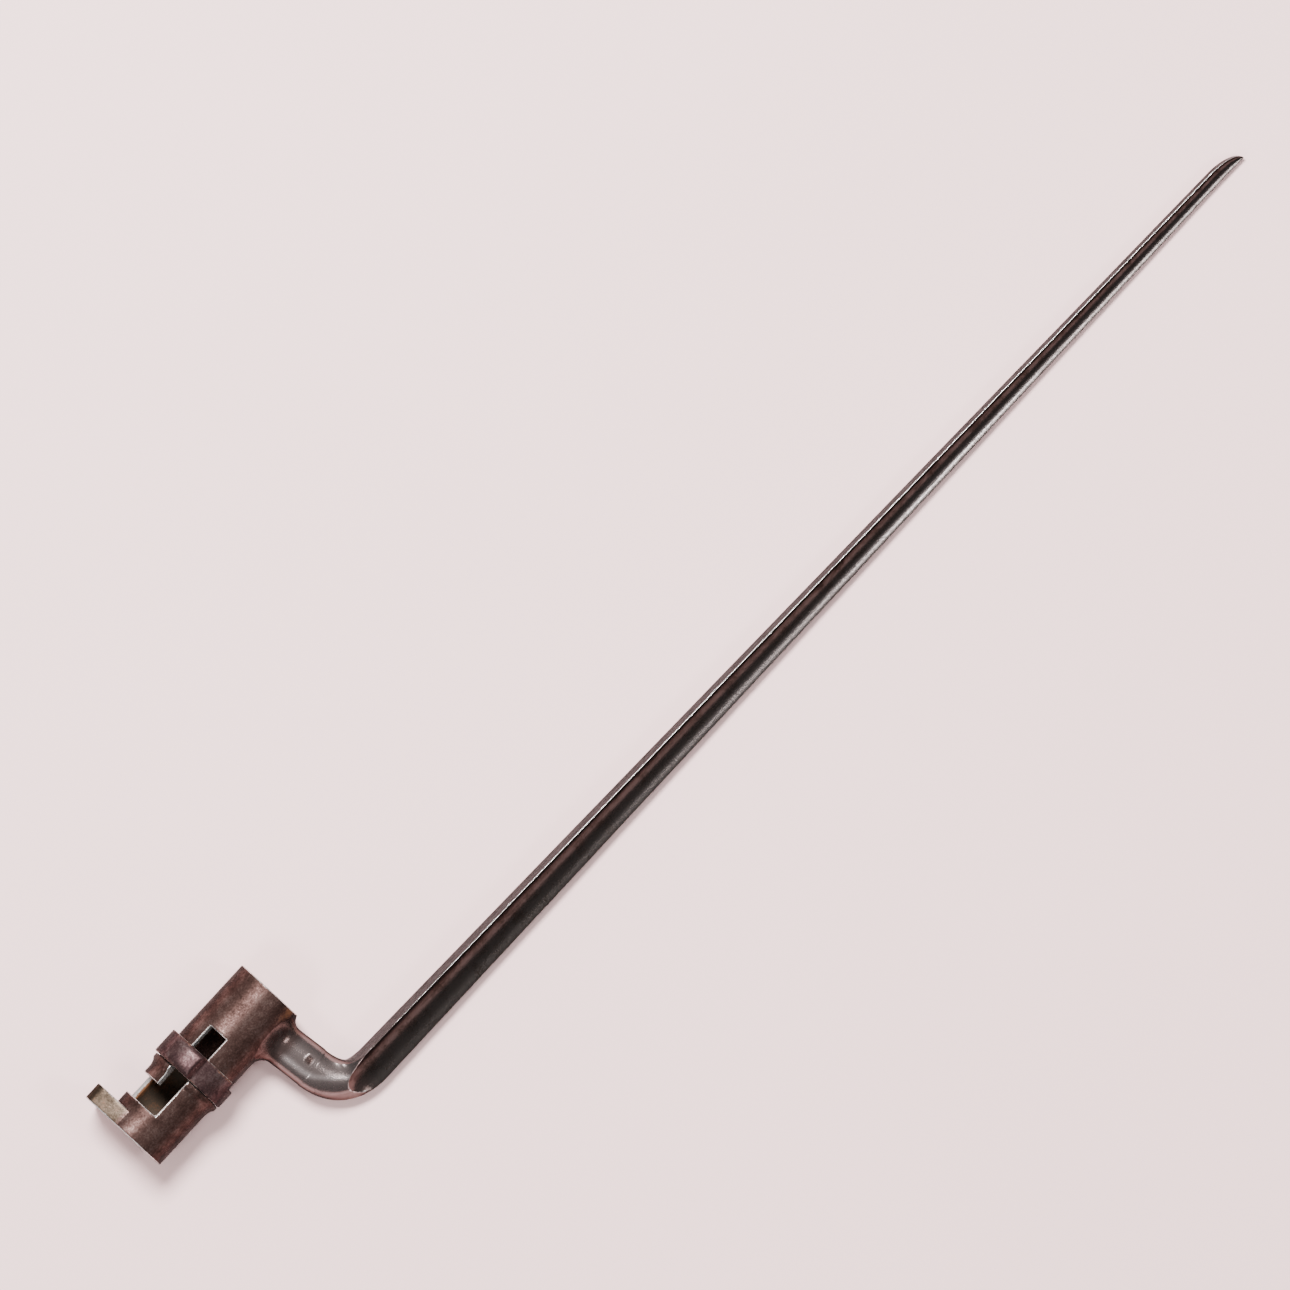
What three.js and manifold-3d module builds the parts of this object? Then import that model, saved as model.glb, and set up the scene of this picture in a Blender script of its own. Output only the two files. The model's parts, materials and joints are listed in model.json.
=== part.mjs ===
// Socket bayonet: a hollow-ground triangular blade on a curved arm, a slotted socket with a bridge
// at its rear end, and a locking ring that turns on the socket. Millimetres, +Z up.
//
// Everything is modelled in the maker's frame: the socket's axis is X, its rear face is at x = 0,
// the blade points to +X, and the arm leaves the socket towards -Y. Angles about the axis are in
// degrees from +Z, growing towards the arm. The last step lays the finished bayonet on its side,
// as it comes to rest on a table, with the origin under the middle of its bounding box.
import * as THREE from "three";
import { ParametricGeometry } from "three/addons/geometries/ParametricGeometry.js";
import { ConvexHull } from "three/addons/math/ConvexHull.js";
import { mergeVertices } from "three/addons/utils/BufferGeometryUtils.js";
import Module from "manifold-3d";

// Socket
const SOCKET_LENGTH = 72.6;
const BORE_DIAMETER = 21.4;
const SOCKET_WALL = 2.65;
const RIM_CHAMFER = 0.4;

// Height over the bore that the bridge and the ring's hump leave for the stud on the barrel
const STUD_HEIGHT = 5.7;

// Mortise: entry leg under the bridge, transverse leg, forward leg
const ENTRY_ANGLE = -111.7;
const ENTRY_WIDTH = 9.8;
const FORWARD_ANGLE = -23.4;
const FORWARD_WIDTH = 7.8;
const TRANSVERSE_START = 11.7;
const TRANSVERSE_LENGTH = 9.3;
const FORWARD_LEG_LENGTH = 27.9;

// Bridge over the entry leg
const BRIDGE_LENGTH = 6.9;
const BRIDGE_WALL = 4.65;
const BRIDGE_INSET = 0.95;
const BRIDGE_CORNER = 4;

// Collar that the locking ring bears against
const COLLAR_LENGTH = 4.9;
const COLLAR_RAMP = 3.2;
const COLLAR_RISE = 1.3;

// Locking ring
const RING_START = 29.3;
const RING_WIDTH = 9.9;
const RING_WALL = 1.35;
const RING_HEAVY_WALL = 2.1;
const HUMP_WALL = 1.6;
const HUMP_FROM = -62;
const HUMP_TO = -6;
const HUMP_RAMP = 9;
const HUMP_CROWN = 1.5;
const HUMP_CROWN_WIDTH = 3;
const EAR_ANGLE = -146;
const EAR_RIM = 0.6;
const EAR_THICKNESS = 2;
const EAR_WIDTH = 7;
const RING_SPLIT = 0.8;
const HEAVY_FROM = -124;

// Screw through the ears, and stop pin in the ring's notch
const SCREW_DIAMETER = 1.8;
const SCREW_HEAD_DIAMETER = 3;
const SCREW_HEAD_HEIGHT = 1;
const SCREW_SLOT = 0.6;
const PIN_DIAMETER = 2;
const PIN_PROUD = 2;
const NOTCH_ANGLE = 50;
const NOTCH_DEPTH = 2.6;
const RING_TURN = 80;

// Arm
const ARM_SETBACK = 11.4;
const ARM_WIDTH = 16;
const ARM_THICKNESS = 13.5;
const ARM_LEAN = 5;
const ARM_FILLET = 4.5;
const ARM_ROUNDNESS = 2.2;
const ELBOW_REACH = 16;

// Blade, measured from the corner where the arm's and the blade's middle lines meet
const BLADE_LENGTH = 466;
const BLADE_OFFSET = 39.5;
const BLADE_SPLAY = 1.35;
const BLADE_WIDTH = 16.6;
const BLADE_WIDTH_AT_POINT = 7;
const BLADE_DEPTH = 13.3;
const BLADE_DEPTH_AT_POINT = 5.2;
const POINT_LENGTH = 12.5;
const FULLER_START = 8.5;
const FULLER_HOLLOW = 0.15;
const EDGE_LAND = 0.4;

// Clearance between pieces, and how far cutters run past what they cut
const FIT_GAP = 0.3;
const OVERRUN = 2;
const WELD = 1e-4;

// Facets
const ROUND_SIDES = 64;
const SMALL_SIDES = 20;
const RING_SIDES = 128;
const RAMP_ROWS = 4;
const CROWN_ROWS = 4;
const FILLET_ROWS = 4;
const ARM_ROWS = 3;
const ELBOW_ROWS = 9;
const FULLER_ROWS = 12;
const POINT_ROWS = 7;
const FLAT_POINTS = 8;
const SIDE_POINTS = 11;
const FULLER_SIDES = 36;
const FULLER_END_ROWS = 7;

const BORE_RADIUS = BORE_DIAMETER / 2;
const SOCKET_RADIUS = BORE_RADIUS + SOCKET_WALL;
const STUD_RADIUS = BORE_RADIUS + STUD_HEIGHT;
const ENTRY_HALF_ANGLE = degrees(Math.asin(ENTRY_WIDTH / 2 / SOCKET_RADIUS));
const FORWARD_HALF_ANGLE = degrees(Math.asin(FORWARD_WIDTH / 2 / SOCKET_RADIUS));
const TRANSVERSE_END = TRANSVERSE_START + TRANSVERSE_LENGTH;
const RING_END = RING_START + RING_WIDTH;
const RING_BORE_RADIUS = SOCKET_RADIUS + FIT_GAP;
const HUMP_RADIUS = STUD_RADIUS + HUMP_WALL;
const HUMP_MIDDLE = (HUMP_FROM + HUMP_TO) / 2;
const PIN_HALF_ANGLE = degrees((PIN_DIAMETER / 2 + FIT_GAP) / RING_BORE_RADIUS);
const PIN_ANGLE = NOTCH_ANGLE + RING_TURN + PIN_HALF_ANGLE;
const ARM_X = SOCKET_LENGTH - ARM_SETBACK;

const wasm = await Module();
wasm.setup();

function radians(angle) {
  return THREE.MathUtils.degToRad(angle);
}

function degrees(angle) {
  return THREE.MathUtils.radToDeg(angle);
}

// A point of the maker's frame from its place along the socket, radius and angle.
function around(x, radius, angle) {
  const a = radians(angle);
  return new THREE.Vector3(x, -radius * Math.sin(a), radius * Math.cos(a));
}

// A closed three.js geometry as a manifold solid: welded, without the slivers at its poles.
function solid(geometry) {
  const bare = new THREE.BufferGeometry();
  const loose = geometry.index ? geometry.toNonIndexed() : geometry;
  bare.setAttribute("position", loose.getAttribute("position"));
  const welded = mergeVertices(bare, WELD);
  const corners = welded.index.array;
  const triVerts = [];
  for (let i = 0; i < corners.length; i += 3) {
    const [a, b, c] = corners.slice(i, i + 3);
    if (a !== b && b !== c && c !== a) triVerts.push(a, b, c);
  }
  const vertProperties = welded.attributes.position.array;
  return new wasm.Manifold(
    new wasm.Mesh({ numProp: 3, vertProperties, triVerts: new Uint32Array(triVerts) }),
  );
}

// A manifold solid as a three.js geometry with flat facets.
function geometryOf(body) {
  const mesh = body.getMesh();
  const geometry = new THREE.BufferGeometry();
  geometry.setAttribute("position", new THREE.BufferAttribute(mesh.vertProperties, mesh.numProp));
  geometry.setIndex(new THREE.BufferAttribute(mesh.triVerts, 1));
  const faceted = geometry.toNonIndexed();
  faceted.computeVertexNormals();
  return faceted;
}

// A profile of [x, radius] pairs turned about the socket's axis.
function turned(profile, sides = ROUND_SIDES) {
  const points = profile.map(([x, radius]) => new THREE.Vector2(radius, x));
  const geometry = new THREE.LatheGeometry(points, sides);
  return solid(geometry.rotateZ(-Math.PI / 2));
}

// A flat shape drawn across the socket, extruded from one x to another. The shape's first
// coordinate is tangential and its second radial, both at the given angle about the axis.
function across(shape, fromX, toX, angle) {
  const geometry = new THREE.ExtrudeGeometry(shape, {
    depth: toX - fromX,
    bevelEnabled: false,
    curveSegments: ROUND_SIDES,
  });
  const tangential = around(0, 1, angle + 90);
  const radial = around(0, 1, angle);
  const along = new THREE.Vector3().crossVectors(tangential, radial);
  const start = along.x > 0 ? fromX : toX;
  const frame = new THREE.Matrix4().makeBasis(tangential, radial, along).setPosition(start, 0, 0);
  return solid(geometry.applyMatrix4(frame));
}

function rectangle(fromT, toT, fromR, toR) {
  const shape = new THREE.Shape();
  shape.moveTo(fromT, fromR);
  shape.lineTo(toT, fromR);
  shape.lineTo(toT, toR);
  shape.lineTo(fromT, toR);
  return shape;
}

// A sector of a ring between two radii and two angles, from one x to another.
function sector(fromX, toX, inner, outer, fromAngle, toAngle) {
  const middle = (fromAngle + toAngle) / 2;
  const half = radians((toAngle - fromAngle) / 2);
  const shape = new THREE.Shape();
  shape.absarc(0, 0, outer, Math.PI / 2 - half, Math.PI / 2 + half, false);
  shape.absarc(0, 0, inner, Math.PI / 2 + half, Math.PI / 2 - half, true);
  return across(shape, fromX, toX, middle);
}

// A round bar from one point to another.
function bar(from, to, diameter) {
  const axis = new THREE.Vector3().subVectors(to, from);
  const geometry = new THREE.CylinderGeometry(diameter / 2, diameter / 2, axis.length(), SMALL_SIDES);
  const turn = new THREE.Quaternion().setFromUnitVectors(new THREE.Vector3(0, 1, 0), axis.normalize());
  geometry.applyQuaternion(turn);
  const middle = new THREE.Vector3().addVectors(from, to).multiplyScalar(0.5);
  return solid(geometry.translate(middle.x, middle.y, middle.z));
}

// A closed surface through rows of points: the first and last rows close to their own middles.
function lofted(rows) {
  const middle = (row) =>
    row.reduce((sum, point) => sum.add(point), new THREE.Vector3()).divideScalar(row.length);
  const pole = (row) => row.map(() => middle(row));
  const closed = [pole(rows[0]), ...rows, pole(rows[rows.length - 1])];
  const count = rows[0].length;
  const surface = (u, v, target) => {
    const row = closed[Math.round(v * (closed.length - 1))];
    target.copy(row[Math.round(u * count) % count]);
  };
  return solid(new ParametricGeometry(surface, count, closed.length - 1));
}

// ---- Blade ----

// The blade's own frame: t runs along its flat face from the corner, n points to the socket's axis.
const splay = radians(BLADE_SPLAY);
const alongBlade = new THREE.Vector3(Math.cos(splay), -Math.sin(splay), 0);
const towardsAxis = new THREE.Vector3(Math.sin(splay), Math.cos(splay), 0);
const cornerX = ARM_X + (BLADE_OFFSET + BLADE_DEPTH / 2 - SOCKET_RADIUS) * Math.tan(radians(ARM_LEAN));

// Width of the flat face, depth to the ridge, and how far the flat face has dropped to the point.
function bladeSize(t) {
  const share = Math.min(t / (BLADE_LENGTH - POINT_LENGTH), 1);
  const q = Math.max(0, (t - BLADE_LENGTH + POINT_LENGTH) / POINT_LENGTH);
  const point = Math.sqrt(Math.max(0, 1 - q * q));
  const fullDepth = THREE.MathUtils.lerp(BLADE_DEPTH, BLADE_DEPTH_AT_POINT, share);
  const depth = fullDepth * point;
  const width = THREE.MathUtils.lerp(BLADE_WIDTH, BLADE_WIDTH_AT_POINT, share) * point;
  return { width, depth, drop: fullDepth - depth };
}

// A point of the blade from t, its distance behind the flat face's line, and its height off mid-plane.
function bladePoint(t, behind, z) {
  return new THREE.Vector3(cornerX, -BLADE_OFFSET, z)
    .addScaledVector(alongBlade, t)
    .addScaledVector(towardsAxis, -behind);
}

// The blade's section before the hollows are ground: half its points on the flat, half on the sides.
// Pairs of [a, b]: a towards the socket's axis from mid-depth, b across the flat face.
function triangle(width, depth) {
  const corners = [
    [depth / 2, -width / 2],
    [depth / 2, width / 2],
    [-depth / 2, 0],
  ];
  const counts = [FLAT_POINTS, SIDE_POINTS, SIDE_POINTS];
  return corners.flatMap(([a, b], i) => {
    const [endA, endB] = corners[(i + 1) % corners.length];
    return Array.from({ length: counts[i] }, (_, k) => [
      THREE.MathUtils.lerp(a, endA, k / counts[i]),
      THREE.MathUtils.lerp(b, endB, k / counts[i]),
    ]);
  });
}

// The same number of points on a superellipse, each in the direction of the triangle's point.
function rounded(section, width, thickness) {
  return section.map(([a, b]) => {
    const angle = Math.atan2(b, a);
    const reachA = Math.abs(Math.cos(angle) / (width / 2)) ** ARM_ROUNDNESS;
    const reachB = Math.abs(Math.sin(angle) / (thickness / 2)) ** ARM_ROUNDNESS;
    const reach = (reachA + reachB) ** (-1 / ARM_ROUNDNESS);
    return [reach * Math.cos(angle), reach * Math.sin(angle)];
  });
}

const smooth = (share) => THREE.MathUtils.smoothstep(share, 0, 1);

// ---- Arm ----

// Rows of the fillet that spreads the arm's foot on the socket, from the socket's skin outwards.
function filletRows(section) {
  return Array.from({ length: FILLET_ROWS + 1 }, (_, k) => {
    const turn = (1 - k / FILLET_ROWS) * (Math.PI / 2);
    const spread = ARM_FILLET * (1 - Math.cos(turn));
    const height = ARM_FILLET * (1 - Math.sin(turn)) - (k === 0 ? FIT_GAP : 0);
    const foot = rounded(section, ARM_WIDTH + 2 * spread, ARM_THICKNESS + 2 * spread);
    return foot.map(([a, b]) => armPoint(a, b, SOCKET_RADIUS + height, 1));
  });
}

// A point of the arm at a distance from the socket's axis, with b wrapped on a cylinder about it
// (round = 1) or laid on a plane across the arm (round = 0).
function armPoint(a, b, distance, round) {
  const turn = b / distance;
  const out = THREE.MathUtils.lerp(distance, distance * Math.cos(turn), round);
  const z = THREE.MathUtils.lerp(b, distance * Math.sin(turn), round);
  const lean = Math.tan(radians(ARM_LEAN));
  const tilt = (1 - round) * a * lean;
  return new THREE.Vector3(ARM_X + a + (out - SOCKET_RADIUS) * lean, tilt - out, z);
}

function armRows(section, elbowStart) {
  const foot = SOCKET_RADIUS + ARM_FILLET;
  const neck = rounded(section, ARM_WIDTH, ARM_THICKNESS);
  return Array.from({ length: ARM_ROWS }, (_, k) => {
    const share = (k + 1) / (ARM_ROWS + 1);
    const distance = THREE.MathUtils.lerp(foot, elbowStart, share);
    return neck.map(([a, b]) => armPoint(a, b, distance, 1 - smooth(share)));
  });
}

// The elbow bends on a quadratic curve from the arm's line to the blade's, and its section goes
// from the arm's round to the blade's triangle.
function elbowRows() {
  const end = bladeSize(ELBOW_REACH);
  const lean = radians(ARM_LEAN);
  const corner = bladePoint(0, BLADE_DEPTH / 2, 0);
  const start = new THREE.Vector3(-Math.sin(lean), Math.cos(lean), 0).multiplyScalar(ELBOW_REACH);
  const curve = new THREE.QuadraticBezierCurve3(
    start.add(corner),
    corner,
    bladePoint(ELBOW_REACH, end.depth / 2, 0),
  );
  const rows = Array.from({ length: ELBOW_ROWS + 1 }, (_, k) => {
    const share = k / ELBOW_ROWS;
    const width = THREE.MathUtils.lerp(ARM_WIDTH, end.depth, smooth(share));
    const thickness = THREE.MathUtils.lerp(ARM_THICKNESS, end.width, smooth(share));
    const sharp = triangle(thickness, width);
    const soft = rounded(sharp, width, thickness);
    const centre = curve.getPoint(share);
    const tangent = curve.getTangent(share);
    const inward = new THREE.Vector3(-tangent.y, tangent.x, 0);
    return sharp.map(([a, b], i) => {
      const toSocket = THREE.MathUtils.lerp(soft[i][0], a, smooth(share));
      const up = THREE.MathUtils.lerp(soft[i][1], b, smooth(share));
      return centre.clone().addScaledVector(inward, toSocket).setZ(up);
    });
  });
  return { rows, section: triangle(ARM_THICKNESS, ARM_WIDTH), start: -start.y };
}

// Rows of the blade past the elbow. Its edges are straight up to the point, so they have no rows.
function bladeRows() {
  const pointed = Array.from({ length: POINT_ROWS }, (_, k) => {
    const turn = ((k + 1) / POINT_ROWS) * (Math.PI / 2);
    return BLADE_LENGTH - POINT_LENGTH * (1 - Math.sin(turn));
  });
  return [BLADE_LENGTH - POINT_LENGTH, ...pointed].map((t) => {
    const { width, depth, drop } = bladeSize(t);
    return triangle(width, depth).map(([a, b]) => bladePoint(t, drop + depth / 2 - a, b));
  });
}

// The grinding that hollows one side of the blade: a round bar that touches the blade's flat edge
// and its ridge all along, with a round end where the wheel lifted off. side is 1 or -1.
function fuller(side) {
  const circle = (t, share) => {
    const { width, depth, drop } = bladeSize(t);
    const edge = new THREE.Vector2(drop, width / 2);
    const ridge = new THREE.Vector2(drop + depth, 0);
    const along = new THREE.Vector2().subVectors(ridge, edge);
    const chord = along.length() - 2 * EDGE_LAND;
    const sagitta = FULLER_HOLLOW * chord;
    const radius = (chord * chord) / (8 * sagitta) + sagitta / 2;
    const outward = new THREE.Vector2(-along.y, along.x).normalize();
    const centre = edge.add(ridge).multiplyScalar(0.5).addScaledVector(outward, radius - sagitta);
    return { centre, radius: radius * share };
  };
  const row = (t, place, share) => {
    const { centre, radius } = circle(place, share);
    return Array.from({ length: FULLER_SIDES }, (_, i) => {
      const turn = (-i * 2 * Math.PI) / FULLER_SIDES;
      const behind = centre.x + radius * Math.cos(turn);
      return bladePoint(t, behind, side * centre.y + radius * Math.sin(turn));
    });
  };
  const endRadius = circle(FULLER_START, 1).radius;
  const roundEnd = Array.from({ length: FULLER_END_ROWS }, (_, k) => {
    const turn = ((k + 1) / (FULLER_END_ROWS + 1)) * (Math.PI / 2);
    return row(FULLER_START - endRadius * Math.cos(turn), FULLER_START, Math.sin(turn));
  });
  const straight = Array.from({ length: FULLER_ROWS + 1 }, (_, k) => {
    const t = THREE.MathUtils.lerp(FULLER_START, BLADE_LENGTH - POINT_LENGTH, k / FULLER_ROWS);
    return row(t, t, 1);
  });
  const pointed = Array.from({ length: POINT_ROWS - 1 }, (_, k) => {
    const turn = ((k + 1) / POINT_ROWS) * (Math.PI / 2);
    const t = BLADE_LENGTH - POINT_LENGTH * (1 - Math.sin(turn));
    return row(t, t, 1);
  });
  return lofted([...roundEnd, ...straight, ...pointed]);
}

function armAndBlade() {
  const { rows, section, start } = elbowRows();
  const foot = rounded(section, ARM_WIDTH + 2 * ARM_FILLET, ARM_THICKNESS + 2 * ARM_FILLET);
  const root = foot.map(([a, b]) => armPoint(a, b, BORE_RADIUS + SOCKET_WALL / 2, 1));
  const arm = [root, ...filletRows(section), ...armRows(section, start)];
  const blank = lofted([...arm, ...rows, ...bladeRows()]);
  const muzzleSide = turned([
    [SOCKET_LENGTH, 0],
    [SOCKET_LENGTH, SOCKET_RADIUS + ARM_FILLET],
    [SOCKET_LENGTH + ARM_WIDTH, SOCKET_RADIUS + ARM_FILLET],
    [SOCKET_LENGTH + ARM_WIDTH, 0],
  ]);
  return blank.subtract(fuller(1)).subtract(fuller(-1)).subtract(muzzleSide);
}

// ---- Socket ----

function socketTube() {
  const collarEnd = RING_START - FIT_GAP;
  const rampStart = collarEnd - COLLAR_LENGTH;
  const ramp = Array.from({ length: RAMP_ROWS }, (_, k) => {
    const share = (k + 1) / RAMP_ROWS;
    return [rampStart + share * COLLAR_RAMP, SOCKET_RADIUS + COLLAR_RISE * share * share];
  });
  return turned([
    [0, 0],
    [0, SOCKET_RADIUS - RIM_CHAMFER],
    [RIM_CHAMFER, SOCKET_RADIUS],
    [rampStart, SOCKET_RADIUS],
    ...ramp,
    [collarEnd, SOCKET_RADIUS + COLLAR_RISE],
    [collarEnd, SOCKET_RADIUS],
    [SOCKET_LENGTH - RIM_CHAMFER, SOCKET_RADIUS],
    [SOCKET_LENGTH, SOCKET_RADIUS - RIM_CHAMFER],
    [SOCKET_LENGTH, 0],
  ]);
}

// The bridge: its sides leave the socket almost as tangents, and its end is flat with round corners.
function bridge() {
  const half = SOCKET_RADIUS - BRIDGE_INSET;
  const reach = STUD_RADIUS + BRIDGE_WALL;
  const shape = new THREE.Shape();
  shape.moveTo(-half, 0);
  shape.lineTo(half, 0);
  shape.absarc(half - BRIDGE_CORNER, reach - BRIDGE_CORNER, BRIDGE_CORNER, 0, Math.PI / 2, false);
  shape.absarc(BRIDGE_CORNER - half, reach - BRIDGE_CORNER, BRIDGE_CORNER, Math.PI / 2, Math.PI, false);
  return across(shape, 0, BRIDGE_LENGTH, ENTRY_ANGLE);
}

function bore() {
  const flare = BORE_RADIUS + RIM_CHAMFER;
  return turned([
    [-OVERRUN, 0],
    [-OVERRUN, flare],
    [0, flare],
    [RIM_CHAMFER, BORE_RADIUS],
    [SOCKET_LENGTH - RIM_CHAMFER, BORE_RADIUS],
    [SOCKET_LENGTH, flare],
    [SOCKET_LENGTH + OVERRUN, flare],
    [SOCKET_LENGTH + OVERRUN, 0],
  ]);
}

// The stud's way: through the bridge, along the entry leg, round, and along the forward leg.
function mortise() {
  const inner = BORE_RADIUS - OVERRUN;
  const outer = SOCKET_RADIUS + COLLAR_RISE + OVERRUN;
  const half = ENTRY_WIDTH / 2;
  const channel = rectangle(-half, half, inner, STUD_RADIUS);
  const entry = across(channel, -OVERRUN, TRANSVERSE_START, ENTRY_ANGLE);
  const transverse = sector(
    TRANSVERSE_START,
    TRANSVERSE_END,
    inner,
    outer,
    ENTRY_ANGLE - ENTRY_HALF_ANGLE,
    FORWARD_ANGLE + FORWARD_HALF_ANGLE,
  );
  const forward = sector(
    TRANSVERSE_START,
    TRANSVERSE_END + FORWARD_LEG_LENGTH,
    inner,
    outer,
    FORWARD_ANGLE - FORWARD_HALF_ANGLE,
    FORWARD_ANGLE + FORWARD_HALF_ANGLE,
  );
  return entry.add(transverse).add(forward);
}

// The stop pin's line, from inside the socket's wall to above the ring's band.
function pinBar(diameter, fromRadius, toRadius) {
  const x = RING_END - PIN_DIAMETER / 2;
  return bar(around(x, fromRadius, PIN_ANGLE), around(x, toRadius, PIN_ANGLE), diameter);
}

function bayonetBody() {
  const pinHole = pinBar(PIN_DIAMETER + 2 * FIT_GAP, BORE_RADIUS - OVERRUN, SOCKET_RADIUS + OVERRUN);
  return socketTube()
    .add(bridge())
    .add(armAndBlade())
    .subtract(bore())
    .subtract(mortise())
    .subtract(pinHole);
}

function stopPin() {
  return pinBar(PIN_DIAMETER, BORE_RADIUS + FIT_GAP, SOCKET_RADIUS + PIN_PROUD);
}

// ---- Locking ring ----

// How far the hump has risen at an angle: 0 on the band, 1 on the hump, smooth between. The margin
// is how much earlier, in degrees, it is back down on the band.
function humpShare(angle, margin) {
  const half = (HUMP_TO - HUMP_FROM) / 2 - margin;
  const off = Math.abs(THREE.MathUtils.euclideanModulo(angle - HUMP_MIDDLE + 180, 360) - 180);
  return 1 - THREE.MathUtils.smoothstep(off, half - HUMP_RAMP, half);
}

// The band is heavier between the ears and the hump, on the side that the stud pushes against.
function bandRadius(angle) {
  const turn = THREE.MathUtils.euclideanModulo(angle - HEAVY_FROM, 360);
  const heavy = turn < HUMP_MIDDLE - HEAVY_FROM;
  return RING_BORE_RADIUS + (heavy ? RING_HEAVY_WALL : RING_WALL);
}

// The ring's outline across its axis, with the hump's pocket inside.
function ringShape() {
  const outline = (radiusAt) =>
    Array.from({ length: RING_SIDES }, (_, i) => {
      const angle = EAR_ANGLE - (i * 360) / RING_SIDES;
      const radius = radiusAt(angle);
      const turn = radians(angle);
      return new THREE.Vector2(radius * Math.sin(turn), radius * Math.cos(turn));
    });
  const wallAngle = degrees(HUMP_WALL / STUD_RADIUS);
  const outer = (angle) =>
    THREE.MathUtils.lerp(bandRadius(angle), HUMP_RADIUS, humpShare(angle, 0));
  const inner = (angle) =>
    THREE.MathUtils.lerp(RING_BORE_RADIUS, STUD_RADIUS, humpShare(angle, wallAngle));
  const shape = new THREE.Shape(outline(outer));
  shape.holes.push(new THREE.Path(outline(inner)));
  return shape;
}

// The envelope that rounds the hump's crown across the ring's width.
function crown() {
  const edge = Array.from({ length: CROWN_ROWS + 1 }, (_, k) => {
    const turn = ((k / CROWN_ROWS) * Math.PI) / 2;
    const x = HUMP_CROWN_WIDTH * (1 - Math.cos(turn));
    return [x, HUMP_RADIUS - HUMP_CROWN * (1 - Math.sin(turn))];
  });
  const rise = edge.map(([x, radius]) => [RING_START + x, radius]);
  const fall = edge.map(([x, radius]) => [RING_END - x, radius]).reverse();
  return turned([[RING_START, 0], ...rise, ...fall, [RING_END, 0]], RING_SIDES);
}

const screwRadius = RING_BORE_RADIUS + RING_WALL + FIT_GAP + SCREW_HEAD_DIAMETER / 2;
const earReach = screwRadius + SCREW_DIAMETER / 2 + EAR_RIM;
const earX = (RING_START + RING_END) / 2;

// A bar along the clamp screw's line, given as distances from the split towards the hump's side.
function screwBar(from, to, diameter) {
  const centre = around(earX, screwRadius, EAR_ANGLE);
  const tangent = around(0, 1, EAR_ANGLE + 90);
  const start = centre.clone().addScaledVector(tangent, from);
  return bar(start, centre.clone().addScaledVector(tangent, to), diameter);
}

const earSide = RING_SPLIT / 2 + EAR_THICKNESS;

function lockingRing() {
  const band = across(ringShape(), RING_START, RING_END, 0).intersect(crown());
  const earRoot = RING_BORE_RADIUS + RING_WALL / 2;
  const ears = across(
    rectangle(-earSide, earSide, earRoot, earReach),
    earX - EAR_WIDTH / 2,
    earX + EAR_WIDTH / 2,
    EAR_ANGLE,
  );
  const half = RING_SPLIT / 2;
  const split = across(
    rectangle(-half, half, BORE_RADIUS, earReach + OVERRUN),
    RING_START - OVERRUN,
    RING_END + OVERRUN,
    EAR_ANGLE,
  );
  const notch = sector(
    RING_END - NOTCH_DEPTH,
    RING_END + OVERRUN,
    BORE_RADIUS,
    HUMP_RADIUS,
    NOTCH_ANGLE,
    PIN_ANGLE + PIN_HALF_ANGLE,
  );
  const hole = screwBar(-earSide - OVERRUN, earSide + OVERRUN, SCREW_DIAMETER + 2 * FIT_GAP);
  return band.add(ears).subtract(split).subtract(notch).subtract(hole);
}

function clampScrew() {
  const seat = earSide + FIT_GAP;
  const shank = screwBar(-earSide, seat + FIT_GAP, SCREW_DIAMETER);
  const head = screwBar(seat, seat + SCREW_HEAD_HEIGHT, SCREW_HEAD_DIAMETER);
  const slotFrom = seat + SCREW_HEAD_HEIGHT / 2;
  const slot = across(
    rectangle(slotFrom, slotFrom + SCREW_HEAD_HEIGHT + OVERRUN, BORE_RADIUS, earReach + OVERRUN),
    earX - SCREW_SLOT / 2,
    earX + SCREW_SLOT / 2,
    EAR_ANGLE,
  );
  return shank.add(head).subtract(slot);
}

// ---- Assembly ----

const steel = (colour, roughness) =>
  new THREE.MeshStandardMaterial({ color: colour, roughness, metalness: 0.85 });

function mesh(name, body, material) {
  const made = new THREE.Mesh(geometryOf(body), material);
  made.name = name;
  return made;
}

const pieces = [
  mesh("bayonet_body", bayonetBody(), steel(0x5a4a45, 0.45)),
  mesh("stop_pin", stopPin(), steel(0x4a3c38, 0.5)),
  mesh("locking_ring", lockingRing(), steel(0x54423f, 0.5)),
  mesh("ring_screw", clampScrew(), steel(0x4a3f3c, 0.5)),
];

// Centre of mass of closed meshes of one metal, from the tetrahedra on their facets.
function centreOfMass(meshes) {
  const sum = new THREE.Vector3();
  let total = 0;
  const [a, b, c] = [new THREE.Vector3(), new THREE.Vector3(), new THREE.Vector3()];
  for (const { geometry } of meshes) {
    const position = geometry.getAttribute("position");
    for (let i = 0; i < position.count; i += 3) {
      a.fromBufferAttribute(position, i);
      b.fromBufferAttribute(position, i + 1);
      c.fromBufferAttribute(position, i + 2);
      const volume = a.dot(b.clone().cross(c));
      total += volume;
      sum.addScaledVector(a.add(b).add(c), volume / 4);
    }
  }
  return sum.divideScalar(total);
}

function cornersOf(meshes) {
  return meshes.flatMap(({ geometry }) => {
    const position = geometry.getAttribute("position");
    return Array.from({ length: position.count }, (_, i) =>
      new THREE.Vector3().fromBufferAttribute(position, i),
    );
  });
}

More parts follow.
